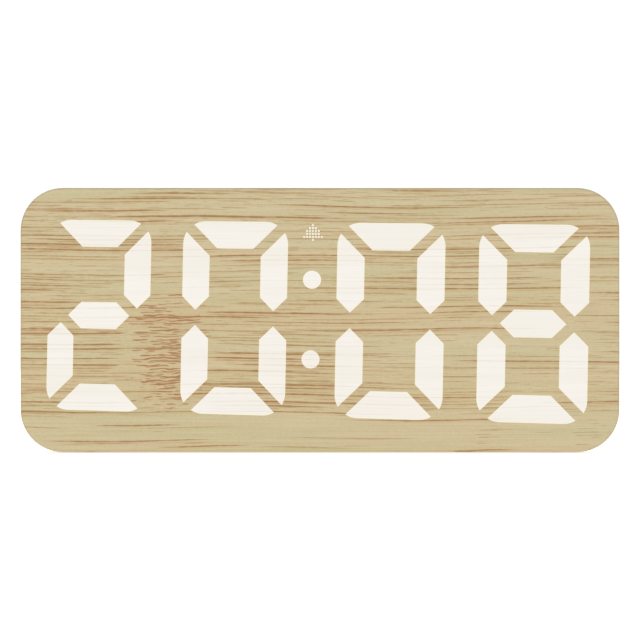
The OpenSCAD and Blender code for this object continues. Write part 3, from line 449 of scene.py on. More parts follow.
# %% Outline of the plate and fibre ends
PLATE_HALF = (face_width / 2 / MM, (face_high.z - face_low.z) / 2 / MM)
PLATE_CORNER = 12.0
BUNDLE_SPACING, BUNDLE_SMALL, BUNDLE_LARGE, BUNDLE_SOFT = 0.85, 0.16, 0.34, 0.12


def outline(f):
    """How near a point is to the plate's outline, and how far the outline faces left or right there."""
    u, v = f.place()[::2]
    over_u = f.math("ADD", f.math("ABSOLUTE", u), PLATE_CORNER - PLATE_HALF[0])
    over_v = f.math("ADD", f.math("ABSOLUTE", v), PLATE_CORNER - PLATE_HALF[1])
    beyond_u = f.math("MAXIMUM", over_u, 0.0)
    beyond_v = f.math("MAXIMUM", over_v, 0.0)
    corner = f.math("SQRT", f.math("ADD", f.math("POWER", beyond_u, 2.0), f.math("POWER", beyond_v, 2.0)))
    inside = f.math("MINIMUM", f.math("MAXIMUM", over_u, over_v), 0.0)
    sideways = f.math("DIVIDE", beyond_u, f.math("MAXIMUM", corner, 0.001))
    return f.math("ADD", corner, inside), sideways


def fibre_ends(f):
    """Dots where the fibre bundles are cut across."""
    w, v = f.place()[1:]
    size = f.step(f.noise(f.vector(w, v, 0.0), 0.9), 0.3, 0.7, BUNDLE_SMALL, BUNDLE_LARGE)
    return f.step(f.cells(w, v, BUNDLE_SPACING), f.math("ADD", size, BUNDLE_SOFT), size)


print("Plate in mm:", [round(2 * half, 2) for half in PLATE_HALF])

# %% [markdown]
# ## Colours of the bamboo
# The colour is built as a painter would: a pale ground, then warm strips and fibres, then the bands and
# lines from the faint to the strong, and last a painted shade along the plate's rounded rim. The list of
# layers below is read from the ground up.

# %% Bamboo finish
FACE_GROUND = (206, 197, 156), (213, 198, 160)
FACE_LAYERS = (("warm", 0.30, (210, 184, 140)), ("knuckle", 0.45, (206, 180, 138)),
               ("dark_fibres", 0.34, (190, 168, 124)), ("pale_fibres", 0.45, (219, 203, 166)),
               ("spots", 0.20, (228, 210, 172)), ("bands", 0.42, (203, 169, 122)),
               ("pores", 0.40, (176, 140, 96)), ("short", 0.55, (178, 135, 85)),
               ("thin", 0.62, (174, 133, 85)), ("strong", 0.80, (164, 116, 70)),
               ("flecks", 0.82, (168, 112, 70)))
END_GROUND = (202, 184, 140), (207, 186, 144)
END_LAYERS = (("spots", 0.35, (184, 160, 116)), ("fibre_ends", 0.56, (160, 118, 74)))
# The edge layer is a painted shade: a darker rim where the plate's rounded edge turns away from the front.
RIM_SHADE_LAYER = ("edge", 0.30, (150, 122, 84))
RIM_SHADE_WIDE, END_NEAR, END_SIDEWAYS = 0.7, (0.14, 0.05), (0.35, 0.75)

bamboo = Finish("bamboo", roughness=0.6, specular=0.2)
grain = bamboo_grain(bamboo)
near_outline, sideways = outline(bamboo)
grain["dark_fibres"] = bamboo.step(grain["fibres"], 0.30, 0.75)
grain["pale_fibres"] = bamboo.step(grain["fibres"], 0.47, 0.27)
grain["spots"] = bamboo.step(grain["mottle"], 0.38, 0.64)
grain["fibre_ends"] = fibre_ends(bamboo)
# Mask of the painted shade along the rim of the plate.
grain["edge"] = bamboo.step(near_outline, PLATE_CORNER - RIM_SHADE_WIDE, PLATE_CORNER)
ground_share = bamboo.step(grain["tone"], 0.32, 0.68)
cut_end = bamboo.math(
    "MULTIPLY", bamboo.step(near_outline, PLATE_CORNER - END_NEAR[0], PLATE_CORNER - END_NEAR[1]),
    bamboo.step(sideways, *END_SIDEWAYS))

face_colour, end_colour = [
    painted(bamboo, bamboo.mix(ground_share, linear(*ground[0]), linear(*ground[1])), grain, layers)
    for ground, layers in ((FACE_GROUND, FACE_LAYERS), (END_GROUND, END_LAYERS))]
# The painted rim shade lies over the face and the cut ends alike.
wood_colour = painted(bamboo, bamboo.mix(cut_end, face_colour, end_colour), grain, [RIM_SHADE_LAYER])
open_lines = bamboo.math("MULTIPLY", grain["strong"], bamboo.math("SUBTRACT", 1.0, cut_end))
bamboo.set("Base Color", wood_colour)
bamboo.set("Roughness", bamboo.step(open_lines, 0.0, 1.0, 0.56, 0.70))
bamboo.bump(bamboo.math("SUBTRACT", grain["fibres"], open_lines), 0.25, 0.03)
dress(["bamboo_face"], bamboo)
print("Bamboo nodes:", len(bamboo.tree.nodes))

# %% [markdown]
# ## Lit segments
# Over each lit segment the plate is only a thin skin, and the light behind it makes it nearly white. The
# grain still shows faintly, and the edge of each window is a little more yellow, because the light there
# passes the wood at a slant. To paint that edge, each front face gets a narrow border by insetting it,
# and a vertex attribute that is 1 on the outside of the border and 0 on its inside.

# %% Finish of the lit skins
LIT_GROUND = (246, 243, 238), (243, 238, 230)
LIT_LAYERS = (("dark_fibres", 0.35, (237, 232, 222)), ("thin", 0.30, (230, 221, 208)),
              ("strong", 0.60, (230, 219, 204)), ("border", 0.75, (252, 244, 206)))
LIT_STRENGTH, UNLIT_COLOUR = 0.86, (0.15, 0.14, 0.12)
glow = Finish("lit_skin", roughness=0.6, specular=0.2)
glow_grain = bamboo_grain(glow)
glow_grain["dark_fibres"] = glow.step(glow_grain["fibres"], 0.3, 0.7)
glow_grain["border"] = glow.add("ShaderNodeAttribute", attribute_name="border").outputs["Fac"]
light_colour = glow.mix(glow.step(glow_grain["tone"], 0.30, 0.70), *[linear(*tone) for tone in LIT_GROUND])
glow.set("Base Color", UNLIT_COLOUR)
glow.set("Emission Color", painted(glow, light_colour, glow_grain, LIT_LAYERS))
glow.set("Emission Strength", LIT_STRENGTH)
print("Layers of light:", [mask for mask, share, tone in LIT_LAYERS])

# %% Lit skins with a warm border
BORDER, DOT_BORDER, DOT_EDGE = 0.32 * MM, 0.12 * MM, 0.2 * MM
SAME_PLACE = 1e-6


def finished(mesh, name, body, replaced=None):
    """A piece from a mesh that is in place: it rides on a body and may stand for a solid."""
    piece = bpy.data.objects.new(name, mesh)
    scene.collection.objects.link(piece)
    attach(piece, body)
    if replaced:
        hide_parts(replaced)
    return piece


def lit_skin(name):
    """A copy of a lit node whose front faces have a border."""
    mesh = nodes[name].data.copy()
    shape = bmesh.new()
    shape.from_mesh(mesh)
    bmesh.ops.remove_doubles(shape, verts=shape.verts, dist=SAME_PLACE)
    bmesh.ops.dissolve_limit(shape, angle_limit=math.radians(2), verts=shape.verts, edges=shape.edges)
    mark = shape.verts.layers.float.new("border")
    front = [face for face in shape.faces if face.normal.y < -0.9]
    shortest = min(edge.calc_length() for face in front for edge in face.edges)
    for vert in shape.verts:
        vert[mark] = 1.0
    bmesh.ops.inset_individual(shape, faces=front, thickness=DOT_BORDER if shortest < DOT_EDGE else BORDER)
    for face in front:
        for vert in face.verts:
            vert[mark] = 0.0
    shape.to_mesh(mesh)
    shape.free()
    mesh.materials.clear()
    mesh.materials.append(glow.material)
    return finished(mesh, name.rsplit("_", 1)[0] + "_lit_skin", "case", name)


lit_names = [f"digit_{k}_segments" for k in (1, 2, 3, 4)] + ["colon_dots", "alarm_indicator"]
lit_pieces = [lit_skin(name) for name in lit_names]
print("Lit skins:", [(piece.name, len(piece.data.polygons)) for piece in lit_pieces])


# %% [markdown]
# ## Moulded plastic
# The case, the cover, the door and the snooze bar are moulded in one warm white plastic. Its mould was
# spark-eroded, which leaves a fine matt grain, so a small noise drives the bump and the roughness, and a
# larger one shifts the colour a little. The keys, the parts on the boards, the feet and the milky lens
# plate are made in the same way, with other numbers.

# %% Plastics and rubber
CLOUD_MM = 14.0
ROUGHNESS_SPREAD = 0.07


def moulded(name, colour, shade, grain_mm, depth_mm, roughness, specular=0.4):
    """A moulded plastic with a fine grain, from two colours as seen on a screen."""
    f = Finish(name, roughness=roughness, specular=specular)
    spot = f.vector(*f.place())
    fine = f.noise(spot, 1 / grain_mm, 2.0, 0.6)
    cloud = f.noise(spot, 1 / CLOUD_MM, 2.0)
    f.set("Base Color", f.mix(f.step(cloud, 0.3, 0.7), linear(*colour), linear(*shade)))
    f.set("Roughness", f.step(fine, 0.3, 0.7, roughness - ROUGHNESS_SPREAD, roughness + ROUGHNESS_SPREAD))
    f.bump(fine, 0.35, depth_mm)
    return f


case_plastic = moulded("case_plastic", (230, 226, 215), (228, 224, 213), 0.28, 0.03, 0.55)
dress(["front_frame", "rear_cover", "battery_door", "snooze_bar"], case_plastic)
key_plastic = moulded("key_plastic", (120, 115, 106), (114, 109, 100), 0.16, 0.012, 0.42)
dress(["set_button", "up_button", "down_button", "light_button", "alarm_slider"], key_plastic)
black_plastic = moulded("black_plastic", (44, 44, 46), (38, 38, 40), 0.2, 0.015, 0.5)
dress(["display_driver", "snooze_switch", "button_switches", "clock_chip", "link_socket", "link_pins",
       "buzzer", "usb_tongue", "snooze_plunger", "set_plunger", "up_plunger", "down_plunger",
       "light_plunger"], black_plastic)
white_plastic = moulded("white_plastic", (242, 242, 239), (238, 238, 234), 0.2, 0.012, 0.5)
dress(["segment_reflector"], white_plastic)
foot_rubber = moulded("foot_rubber", (58, 57, 55), (50, 49, 48), 0.22, 0.04, 0.8, 0.25)
dress(["rubber_feet"], foot_rubber)
sleeve = moulded("capacitor_sleeve", (46, 52, 84), (38, 44, 74), 0.3, 0.01, 0.3)
dress(["capacitors"], sleeve)

MILK_WEIGHT, MILK_DEPTH = 0.3, (0.001, 0.001, 0.0009)
milky_lens = moulded("milky_lens", (240, 240, 236), (236, 236, 231), 0.4, 0.005, 0.25)
milky_lens.set("Subsurface Weight", MILK_WEIGHT)
milky_lens.set("Subsurface Radius", MILK_DEPTH)
dress(["lens_plate"], milky_lens)
print("Moulded finishes:", [f.material.name for f in (
    case_plastic, key_plastic, black_plastic, white_plastic, foot_rubber, sleeve, milky_lens)])


# %% [markdown]
# ## Metal and boards
# Springs, screws, contacts and the inlet's shell are nickel-plated steel. Fine scratches come from noise
# that is stretched along one axis. The circuit boards are green, with paler copper tracks under the mask.
# A slow noise decides where the tracks run sideways and where upwards, and a pattern of cells sets tinned
# holes, each with a painted shade in its middle where the hole goes down.

# %% Plated metal
SCRATCH_ACROSS, SCRATCH_ALONG = 9.0, 0.6
DULLER = 0.86


def plated(name, colour, roughness):
    """Plated metal with fine scratches."""
    f = Finish(name, roughness=roughness)
    u, w, v = f.place()
    scratch = f.noise(f.vector(f.math("MULTIPLY", u, SCRATCH_ACROSS), f.math("MULTIPLY", w, SCRATCH_ALONG),
                               f.math("MULTIPLY", v, SCRATCH_ACROSS)), 1.0, 2.0)
    f.set("Metallic", 1.0)
    f.set("Base Color", f.mix(scratch, colour, tuple(level * DULLER for level in colour)))
    f.set("Roughness", f.step(scratch, 0.3, 0.7, roughness - 0.06, roughness + 0.08))
    f.bump(scratch, 0.1, 0.01)
    return f


steel = plated("steel", (0.66, 0.66, 0.65), 0.28)
dress(["display_screws", "cover_screws", "board_screws", "snooze_springs", "battery_springs",
       "battery_contacts", "usb_shell", "alarm_switch", "crystal"], steel)
gold = plated("contact_gold", (0.78, 0.56, 0.22), 0.25)
print("Plated finishes:", steel.material.name, gold.material.name)

# %% Circuit boards
TRACKS = (("Scale", 1.0), ("Brick Width", 23.0), ("Row Height", 1.3), ("Mortar Size", 0.17),
          ("Mortar Smooth", 0.3))
TRACK_ZONE = 13.0
VIA_SPACING, VIA_R, VIA_HOLE_R, VIA_SOFT = 6.0, 0.55, 0.25, 0.05
MASK_COLOUR, TRACK_COLOUR = (0.022, 0.13, 0.055), (0.05, 0.22, 0.09)
# The near black in the middle of each via is a painted shade, for the dark down the hole.
TIN_COLOUR, HOLE_SHADE_COLOUR = (0.60, 0.58, 0.52), (0.02, 0.04, 0.03)
board = Finish("circuit_board", roughness=0.35)
board_u, board_v = board.place()[::2]


def lanes(along, across):
    """Long tracks beside each other, as the joints between very long bricks."""
    bricks = board.add("ShaderNodeTexBrick", offset=0.37, offset_frequency=2)
    board.put(bricks.inputs["Vector"], board.vector(along, across, 0.0))
    for name, value in TRACKS:
        bricks.inputs[name].default_value = value
    return bricks.outputs["Fac"]


zone = board.step(board.noise(board.vector(board_u, 0.0, board_v), 1 / TRACK_ZONE), 0.49, 0.51)
sideways_tracks = board.math("MULTIPLY", zone, lanes(board_u, board_v))
upward_tracks = board.math("MULTIPLY", board.math("SUBTRACT", 1.0, zone), lanes(board_v, board_u))
tracks = board.math("ADD", sideways_tracks, upward_tracks)
from_via = board.math("MULTIPLY", board.cells(board_u, board_v, VIA_SPACING), VIA_SPACING)
via, via_hole = [board.step(from_via, radius + VIA_SOFT, radius) for radius in (VIA_R, VIA_HOLE_R)]
board_colour = board.mix(via, board.mix(tracks, MASK_COLOUR, TRACK_COLOUR), TIN_COLOUR)
# Painted shade in the middle of each via.
board.set("Base Color", board.mix(via_hole, board_colour, HOLE_SHADE_COLOUR))
board.set("Metallic", board.math("MULTIPLY", via, 0.8))
board.bump(board.math("SUBTRACT", board.math("MAXIMUM", tracks, via), via_hole), 0.3, 0.03)
dress(["display_board", "control_board"], board)
print("Board nodes:", len(board.tree.nodes))

# %% Light chips
CHIP_GLOW = 0.5
light_chip = Finish("light_chip", roughness=0.3)
phosphor = light_chip.noise(light_chip.vector(*light_chip.place()), 2.5, 2.0)
light_chip.set("Base Color", light_chip.mix(phosphor, linear(250, 242, 196), linear(244, 226, 140)))
light_chip.set("Emission Color", linear(255, 246, 214))
light_chip.set("Emission Strength", CHIP_GLOW)
dress(["segment_leds"], light_chip)
print("Chip glow:", CHIP_GLOW)

# %% [markdown]
# ## Battery cells
# The three cells lie head to tail, so the pale end of the jacket is at the right for the outer two and at
# the left for the middle one. The pattern finds its cell by height, turns the long axis round for the
# middle cell, and paints a band from there.

# %% Cell jackets
CELL_COUNT = 3
HEAD_BAND, BARE_TIP, BARE_BASE = (9.0, 9.2), (22.9, 23.0), (-19.6, -19.8)
BARE_METAL = (0.62, 0.62, 0.6)
cells_low, cells_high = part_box("battery_cells")
cell_pitch = (cells_high.z - cells_low.z) / CELL_COUNT / MM
jacket = Finish("cell_jacket", roughness=0.32)
jacket_u, jacket_w, jacket_v = jacket.place()
from_lowest = jacket.math("SUBTRACT", jacket_v, (cells_low.z - middle_z) / MM)
which_cell = jacket.math("FLOOR", jacket.math("DIVIDE", from_lowest, cell_pitch))
head_way = jacket.math("SUBTRACT", 1.0, jacket.math(
    "MULTIPLY", jacket.math("MODULO", which_cell, 2.0), 2.0))
from_middle = jacket.math("SUBTRACT", jacket_u, (cells_low.x + cells_high.x) / 2 / MM)
to_head = jacket.math("MULTIPLY", from_middle, head_way)
scuff = jacket.noise(jacket.vector(jacket_u, jacket_w, jacket_v), 0.8, 3.0)
head_band = jacket.step(to_head, *HEAD_BAND)
bare = jacket.math("MAXIMUM", jacket.step(to_head, *BARE_TIP), jacket.step(to_head, *BARE_BASE))
jacket_colour = jacket.mix(head_band, linear(96, 114, 124), linear(196, 198, 196))
jacket_colour = jacket.mix(jacket.math("MULTIPLY", scuff, 0.25), jacket_colour, linear(120, 116, 110))
jacket.set("Base Color", jacket.mix(bare, jacket_colour, BARE_METAL))
jacket.set("Metallic", jacket.math("MAXIMUM", jacket.math("MULTIPLY", head_band, 0.7), bare))
jacket.set("Roughness", jacket.step(scuff, 0.3, 0.7, 0.26, 0.40))
dress(["battery_cells"], jacket)
print("Cell pitch in mm:", round(cell_pitch, 2))


# %% [markdown]
# ## Pieces that repeat
# Screws, feet, grip dots and contact pads repeat by a rule, so a Geometry Nodes tree places them. Each
# tree has named inputs, copies one shape to a set of points, makes the copies real and gives them their
# finish. The result is then kept as a plain mesh, and the tree's modifier and the pattern shapes go away.

# %% Helper for Geometry Nodes
class Rule:
    """A Geometry Nodes tree that is built node by node and then made into one plain mesh."""

    def __init__(self, name):
        self.name = name
        self.tree = bpy.data.node_groups.new(name, "GeometryNodeTree")
        self.tree.interface.new_socket("Geometry", in_out="OUTPUT", socket_type="NodeSocketGeometry")
        self.start = self.tree.nodes.new("NodeGroupInput")
        self.end = self.tree.nodes.new("NodeGroupOutput")
        self.values = {}
        self.patterns = []

    def value(self, name, kind, amount):
        """A named input of the tree, and what it is set to."""
        socket = self.tree.interface.new_socket(name, in_out="INPUT", socket_type="NodeSocket" + kind)
        self.values[socket.identifier] = amount
        return self.start.outputs[name]

    def add(self, kind, inputs, **settings):
        """A node with some of its inputs linked or set. Gives its first output."""
        node = self.tree.nodes.new(kind)
        for key, item in settings.items():
            setattr(node, key, item)
        for key, item in inputs.items():
            if isinstance(item, bpy.types.NodeSocket):
                self.tree.links.new(item, node.inputs[key])
            else:
                node.inputs[key].default_value = item
        return node.outputs[0]

    def shape(self, label, pattern):
        """The geometry of a pattern object."""
        self.patterns.append(pattern)
        node = self.tree.nodes.new("GeometryNodeObjectInfo")
        self.tree.links.new(self.value(label, "Object", pattern), node.inputs["Object"])
        return node.outputs["Geometry"]

    def grid(self, count, size, middle, turn=(0.0, 0.0, 0.0)):
        """Points of a grid, turned and moved to where the copies belong."""
        flat = self.add("GeometryNodeMeshGrid", {
            "Size X": self.value("Width", "Float", size[0]), "Size Y": self.value("Depth", "Float", size[1]),
            "Vertices X": self.value("Columns", "Int", count[0]),
            "Vertices Y": self.value("Rows", "Int", count[1])})
        return self.add("GeometryNodeTransform", {
            "Geometry": flat, "Translation": self.value("Middle", "Vector", middle),
            "Rotation": self.value("Turn", "Rotation", turn)})

    def copies(self, points, instance, **inputs):
        """A copy of a shape at each point."""
        return self.add("GeometryNodeInstanceOnPoints", {"Points": points, "Instance": instance, **inputs})

    def join(self, *parts):
        node = self.tree.nodes.new("GeometryNodeJoinGeometry")
        for part in parts:
            self.tree.links.new(part, node.inputs[0])
        return node.outputs[0]

    def mesh(self, geometry, finish):
        """Makes the copies real, gives them a finish and keeps the result as a plain mesh."""
        real = self.add("GeometryNodeRealizeInstances", {"Geometry": geometry})
        dressed = self.add("GeometryNodeSetMaterial", {"Geometry": real, "Material": finish.material})
        self.tree.links.new(dressed, self.end.inputs[0])
        holder = bpy.data.objects.new(self.name + "_rule", bpy.data.meshes.new(self.name + "_rule"))
        scene.collection.objects.link(holder)
        modifier = holder.modifiers.new("rule", "NODES")
        modifier.node_group = self.tree
        for identifier, amount in self.values.items():
            modifier[identifier] = amount
        depsgraph = bpy.context.evaluated_depsgraph_get()
        made = bpy.data.meshes.new_from_object(holder.evaluated_get(depsgraph), depsgraph=depsgraph)
        made.name = self.name
        holder.modifiers.remove(modifier)
        for passing in (holder, *self.patterns):
            bpy.data.objects.remove(passing)
        return made


print("Helper for what repeats:", Rule.__name__)

# %% Helpers for pattern shapes
SHARP = math.radians(35)


def pattern_object(name, shape):
    """A bmesh as an object that a rule can copy."""
    bmesh.ops.recalc_face_normals(shape, faces=shape.faces)
    mesh = bpy.data.meshes.new(name)
    shape.to_mesh(mesh)
    shape.free()
    mesh.shade_smooth()
    mesh.set_sharp_from_angle(angle=SHARP)
    pattern = bpy.data.objects.new(name, mesh)
    scene.collection.objects.link(pattern)
    return pattern


def loft(rings, closed=True):
    """A skin over rings of equal point count, with its two ends closed or left open."""
    shape = bmesh.new()
    loops = [[shape.verts.new(point) for point in ring] for ring in rings]
    for near, far in zip(loops, loops[1:]):
        for k in range(len(near)):
            after = (k + 1) % len(near)
            shape.faces.new((near[k], near[after], far[after], far[k]))
    if closed:
        shape.faces.new(loops[0])
        shape.faces.new(loops[-1])
    return shape


print("Edges sharper than this many degrees stay sharp:", round(math.degrees(SHARP)))

# %% [markdown]
# ## Cover screws
# Four pan-head screws hold the cover. The head is a low dome with a cross recess, and the shank has a
# thread that cuts its own way into the plastic. One loft makes all of it: every ring has the same 24
# angles, which include the corners of the cross, so the recess needs no cutting. On the thread the radius
# depends on height and angle together, which turns plain rings into a screw line. A chance turn leaves
# each cross at its own angle.

# %% Rings of a cover screw
SCREW_HEAD_R, SCREW_HEAD_H, SCREW_R, SCREW_CORE = 2.5, 1.8, 1.28, 0.95
HEAD_DOME = ((0.08, 0.85), (0.24, 0.45), (0.50, 0.16), (0.85, 0.02), (1.1, 0.0),
             (SCREW_HEAD_H - 0.1, 0.0), (SCREW_HEAD_H, 0.1))
SCREW_TIP = ((1.2, 0.9), (0.5, 0.55), (0.0, 0.2))
THREAD_PITCH, THREAD_ROWS, THREAD_SHARP, THREAD_END = 1.0, 8, 2.2, 1.4
CROSS_ARM, CROSS_HALF, CROSS_DEEP = 1.35, 0.36, 1.1
QUARTER = math.pi / 2
corner_angle = math.atan2(CROSS_HALF, CROSS_ARM)
quarter_angles = [0.0, corner_angle, *[math.radians(turn) for turn in (30, 45, 60)], QUARTER - corner_angle]
screw_angles = [angle + turn * QUARTER for turn in range(4) for angle in quarter_angles]


def cross_reach(angle):
    """How far the outline of a cross is from its middle at an angle."""
    angle = angle % QUARTER
    angle = min(angle, QUARTER - angle)
    return CROSS_ARM / math.cos(angle) if angle <= corner_angle + 1e-9 else CROSS_HALF / math.sin(angle)


def screw_ring(height, radius):
    """A ring about the Y axis in metres. Its radius is a number or a function of the angle."""
    sizes = [radius(angle) if callable(radius) else radius for angle in screw_angles]
    return [(size * math.cos(angle) * MM, height * MM, size * math.sin(angle) * MM)
            for size, angle in zip(sizes, screw_angles)]


def thread_radius(height):
    """The radius of the thread at a height, as a function of the angle."""
    def at(angle):
        phase = (height / THREAD_PITCH + angle / (2 * math.pi)) % 1.0
        return SCREW_CORE + (SCREW_R - SCREW_CORE) * max(0.0, 1.0 - THREAD_SHARP * abs(phase - 0.5))
    return at


screws_low, screws_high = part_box("cover_screws")
screw_seat = screws_high.y / MM - SCREW_HEAD_H
screw_length = screw_seat - screws_low.y / MM
screw_rings = [screw_ring(SCREW_HEAD_H - CROSS_DEEP, lambda angle: 0.55 * cross_reach(angle)),
               screw_ring(SCREW_HEAD_H - 0.06, lambda angle: 0.96 * cross_reach(angle)),
               screw_ring(SCREW_HEAD_H, lambda angle: cross_reach(angle) + 0.04)]
screw_rings += [screw_ring(SCREW_HEAD_H - drop, SCREW_HEAD_R - inset) for drop, inset in HEAD_DOME]
screw_rings.append(screw_ring(0.0, SCREW_R))
thread_steps = int((screw_length - THREAD_END) * THREAD_ROWS / THREAD_PITCH)
thread_heights = [-step * THREAD_PITCH / THREAD_ROWS for step in range(2, thread_steps)]
screw_rings += [screw_ring(height, thread_radius(height)) for height in thread_heights]
screw_rings += [screw_ring(-screw_length + rise, size) for rise, size in SCREW_TIP]
print("Rings of a screw:", len(screw_rings), "length below the head in mm:", round(screw_length, 2))

# %% Cover screws
SCREW_SEED, LARGEST_TURN = 5, 1.5
UPRIGHT = (math.pi / 2, 0.0, 0.0)
screw_rule = Rule("cover_screws_made")
screw_span = [high - low - 2 * SCREW_HEAD_R * MM for low, high in (
    (screws_low.x, screws_high.x), (screws_low.z, screws_high.z))]
screw_points = screw_rule.grid((2, 2), screw_span, (0.0, screw_seat * MM, middle_z), UPRIGHT)
chance_turn = screw_rule.add("FunctionNodeRandomValue", {
    0: (0.0, 0.0, 0.0), 1: (0.0, LARGEST_TURN, 0.0), "Seed": screw_rule.value("Seed", "Int", SCREW_SEED)},
    data_type="FLOAT_VECTOR")
screw_shape = screw_rule.shape("Screw", pattern_object("screw_pattern", loft(screw_rings)))
screw_copies = screw_rule.copies(screw_points, screw_shape, Rotation=chance_turn)
cover_screws = finished(
    screw_rule.mesh(screw_copies, steel), "cover_screws_made", "case", "cover_screws")
print("Screw faces:", len(cover_screws.data.polygons))

# %% [markdown]
# ## Rubber feet
# The feet are pressed from soft rubber: round pads with a rounded rim and two shallow grooves below,
# which let the air out and grip the table. They are turned shapes, so rings about the Z axis make them.

# %% Rubber feet
FOOT_R, FOOT_SIDES = 4.5, 48
GROOVES, GROOVE_DEEP, GROOVE_SLOPE = ((3.3, 2.7), (1.8, 1.2)), 0.18, 0.1
feet_low, feet_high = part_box("rubber_feet")
foot_h = (feet_high.z - feet_low.z) / MM


def round_ring(radius, height, sides):
    """A ring about the Z axis, in millimetres, given in metres."""
    turns = [2 * math.pi * k / sides for k in range(sides)]
    return [(radius * MM * math.cos(turn), radius * MM * math.sin(turn), height * MM) for turn in turns]


foot_profile = [(FOOT_R - 0.05, foot_h), (FOOT_R, foot_h - 0.05), (FOOT_R, 0.45), (FOOT_R - 0.13, 0.13),
                (FOOT_R - 0.45, 0.0)]
for outer, inner in GROOVES:
    foot_profile += [(outer, 0.0), (outer - GROOVE_SLOPE, GROOVE_DEEP), (inner + GROOVE_SLOPE, GROOVE_DEEP),
                     (inner, 0.0)]
foot_profile.append((0.2, 0.0))
foot_rings = [round_ring(radius, height, FOOT_SIDES) for radius, height in foot_profile]
foot_rule = Rule("rubber_feet_made")
foot_span = (feet_high.x - feet_low.x - 2 * FOOT_R * MM, feet_high.y - feet_low.y - 2 * FOOT_R * MM)
foot_middle = ((feet_low.x + feet_high.x) / 2, (feet_low.y + feet_high.y) / 2, feet_low.z)
foot_points = foot_rule.grid((2, 2), foot_span, foot_middle)
foot_copies = foot_rule.copies(
    foot_points, foot_rule.shape("Foot", pattern_object("foot_pattern", loft(foot_rings))))
rubber_feet = finished(
    foot_rule.mesh(foot_copies, foot_rubber), "rubber_feet_made", "case", "rubber_feet")
print("Foot height in mm:", round(foot_h, 2), "faces:", len(rubber_feet.data.polygons))

# %% [markdown]
# ## Grip dots
# The snooze bar is found by touch in the dark, so its top carries rows of low dots. They are part of the
# same moulding and move with the bar.

# %% Grip dots on the snooze bar
DOT_R, DOT_H, DOT_SIDES, DOT_PITCH = 0.5, 0.35, 14, 2.0
DOT_SLOPES = (0, 25, 50, 75)
DOT_COUNT = (25, 3)
bar_low, bar_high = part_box("snooze_bar")
dot_rings = [round_ring(DOT_R * math.cos(slope), DOT_H * math.sin(slope), DOT_SIDES)
             for slope in map(math.radians, DOT_SLOPES)]
dot_rule = Rule("snooze_grip_dots")
dot_span = [(count - 1) * DOT_PITCH * MM for count in DOT_COUNT]
dot_points = dot_rule.grid(DOT_COUNT, dot_span, (0.0, (bar_low.y + bar_high.y) / 2, bar_high.z))
dot_copies = dot_rule.copies(
    dot_points, dot_rule.shape("Dot", pattern_object("dot_pattern", loft(dot_rings))))
grip_dots = finished(dot_rule.mesh(dot_copies, case_plastic), "snooze_grip_dots", "snooze")
print("Grip dots:", DOT_COUNT[0] * DOT_COUNT[1], "faces:", len(grip_dots.data.polygons))

# %% [markdown]
# ## Contact pads in the power inlet
# The tongue of the inlet carries twelve gold-plated pads on each side, half a millimetre apart. Two lines
# of points, one above and one below the tongue, place them.

# %% Contact pads
PAD_SIZE, PAD_BEVEL = (0.25, 3.0, 0.06), 0.02
PAD_PITCH, PAD_COUNT, PAD_FROM_TIP = 0.5, 12, 0.3
tongue_low, tongue_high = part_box("usb_tongue")
pad = bmesh.new()
bmesh.ops.create_cube(pad, size=1.0)
bmesh.ops.scale(pad, vec=[side * MM for side in PAD_SIZE], verts=pad.verts)
bmesh.ops.bevel(pad, geom=pad.edges[:], offset=PAD_BEVEL * MM, segments=2, affect="EDGES", profile=0.5)
pad_rule = Rule("inlet_contact_pads")
pad_middle = ((tongue_low.x + tongue_high.x) / 2, tongue_high.y - (PAD_FROM_TIP + PAD_SIZE[1] / 2) * MM,
              (tongue_low.z + tongue_high.z) / 2)
pad_span = ((PAD_COUNT - 1) * PAD_PITCH * MM, tongue_high.z - tongue_low.z)
pad_points = pad_rule.grid((PAD_COUNT, 2), pad_span, pad_middle, UPRIGHT)
pad_copies = pad_rule.copies(pad_points, pad_rule.shape("Pad", pattern_object("pad_pattern", pad)))
contact_pads = finished(pad_rule.mesh(pad_copies, gold), "inlet_contact_pads", "case")
print("Pads:", 2 * PAD_COUNT, "faces:", len(contact_pads.data.polygons))

# %% [markdown]
# ## Springs under the snooze bar
# Two coil springs push the snooze bar up. A spiral curve with a round section is the shortest way to wind
# them. Real springs have closed ends that stand flat, so a float curve slows the rise in the first and
# the last turn. A pressed spring gets shorter, but this piece keeps one length.

# %% Rule of the springs
SPRING_TURNS, SPRING_WIRE_R = 5, 0.25
POINTS_PER_TURN, WIRE_SIDES = 24, 10
END_TURN, END_RISE = 0.2, 0.11
springs_low, springs_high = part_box("snooze_springs")
spring_r = (springs_high.y - springs_low.y) / 2
spring_length = springs_high.z - springs_low.z
spring_rule = Rule("snooze_springs_made")
wire_r = spring_rule.value("Wire radius", "Float", SPRING_WIRE_R * MM)
coil_r = spring_rule.value("Coil radius", "Float", spring_r - SPRING_WIRE_R * MM)
climb = spring_rule.value("Climb", "Float", spring_length - 2 * SPRING_WIRE_R * MM)
spiral = spring_rule.add("GeometryNodeCurveSpiral", {
    "Resolution": POINTS_PER_TURN, "Rotations": spring_rule.value("Turns", "Float", SPRING_TURNS),
    "Start Radius": coil_r, "End Radius": coil_r, "Height": climb})
wire_share = spring_rule.add("GeometryNodeSplineParameter", {})
rise = spring_rule.add("ShaderNodeFloatCurve", {"Value": wire_share})
for wound_share, risen_share in ((END_TURN, END_RISE), (1 - END_TURN, 1 - END_RISE)):
    rise.node.mapping.curves[0].points.new(wound_share, risen_share)
rise.node.mapping.update()
level = spring_rule.add("ShaderNodeMath", {0: rise, 1: climb, 2: wire_r}, operation="MULTIPLY_ADD")
position = spring_rule.add("GeometryNodeInputPosition", {})
even_place = spring_rule.add("ShaderNodeSeparateXYZ", {0: position}).node
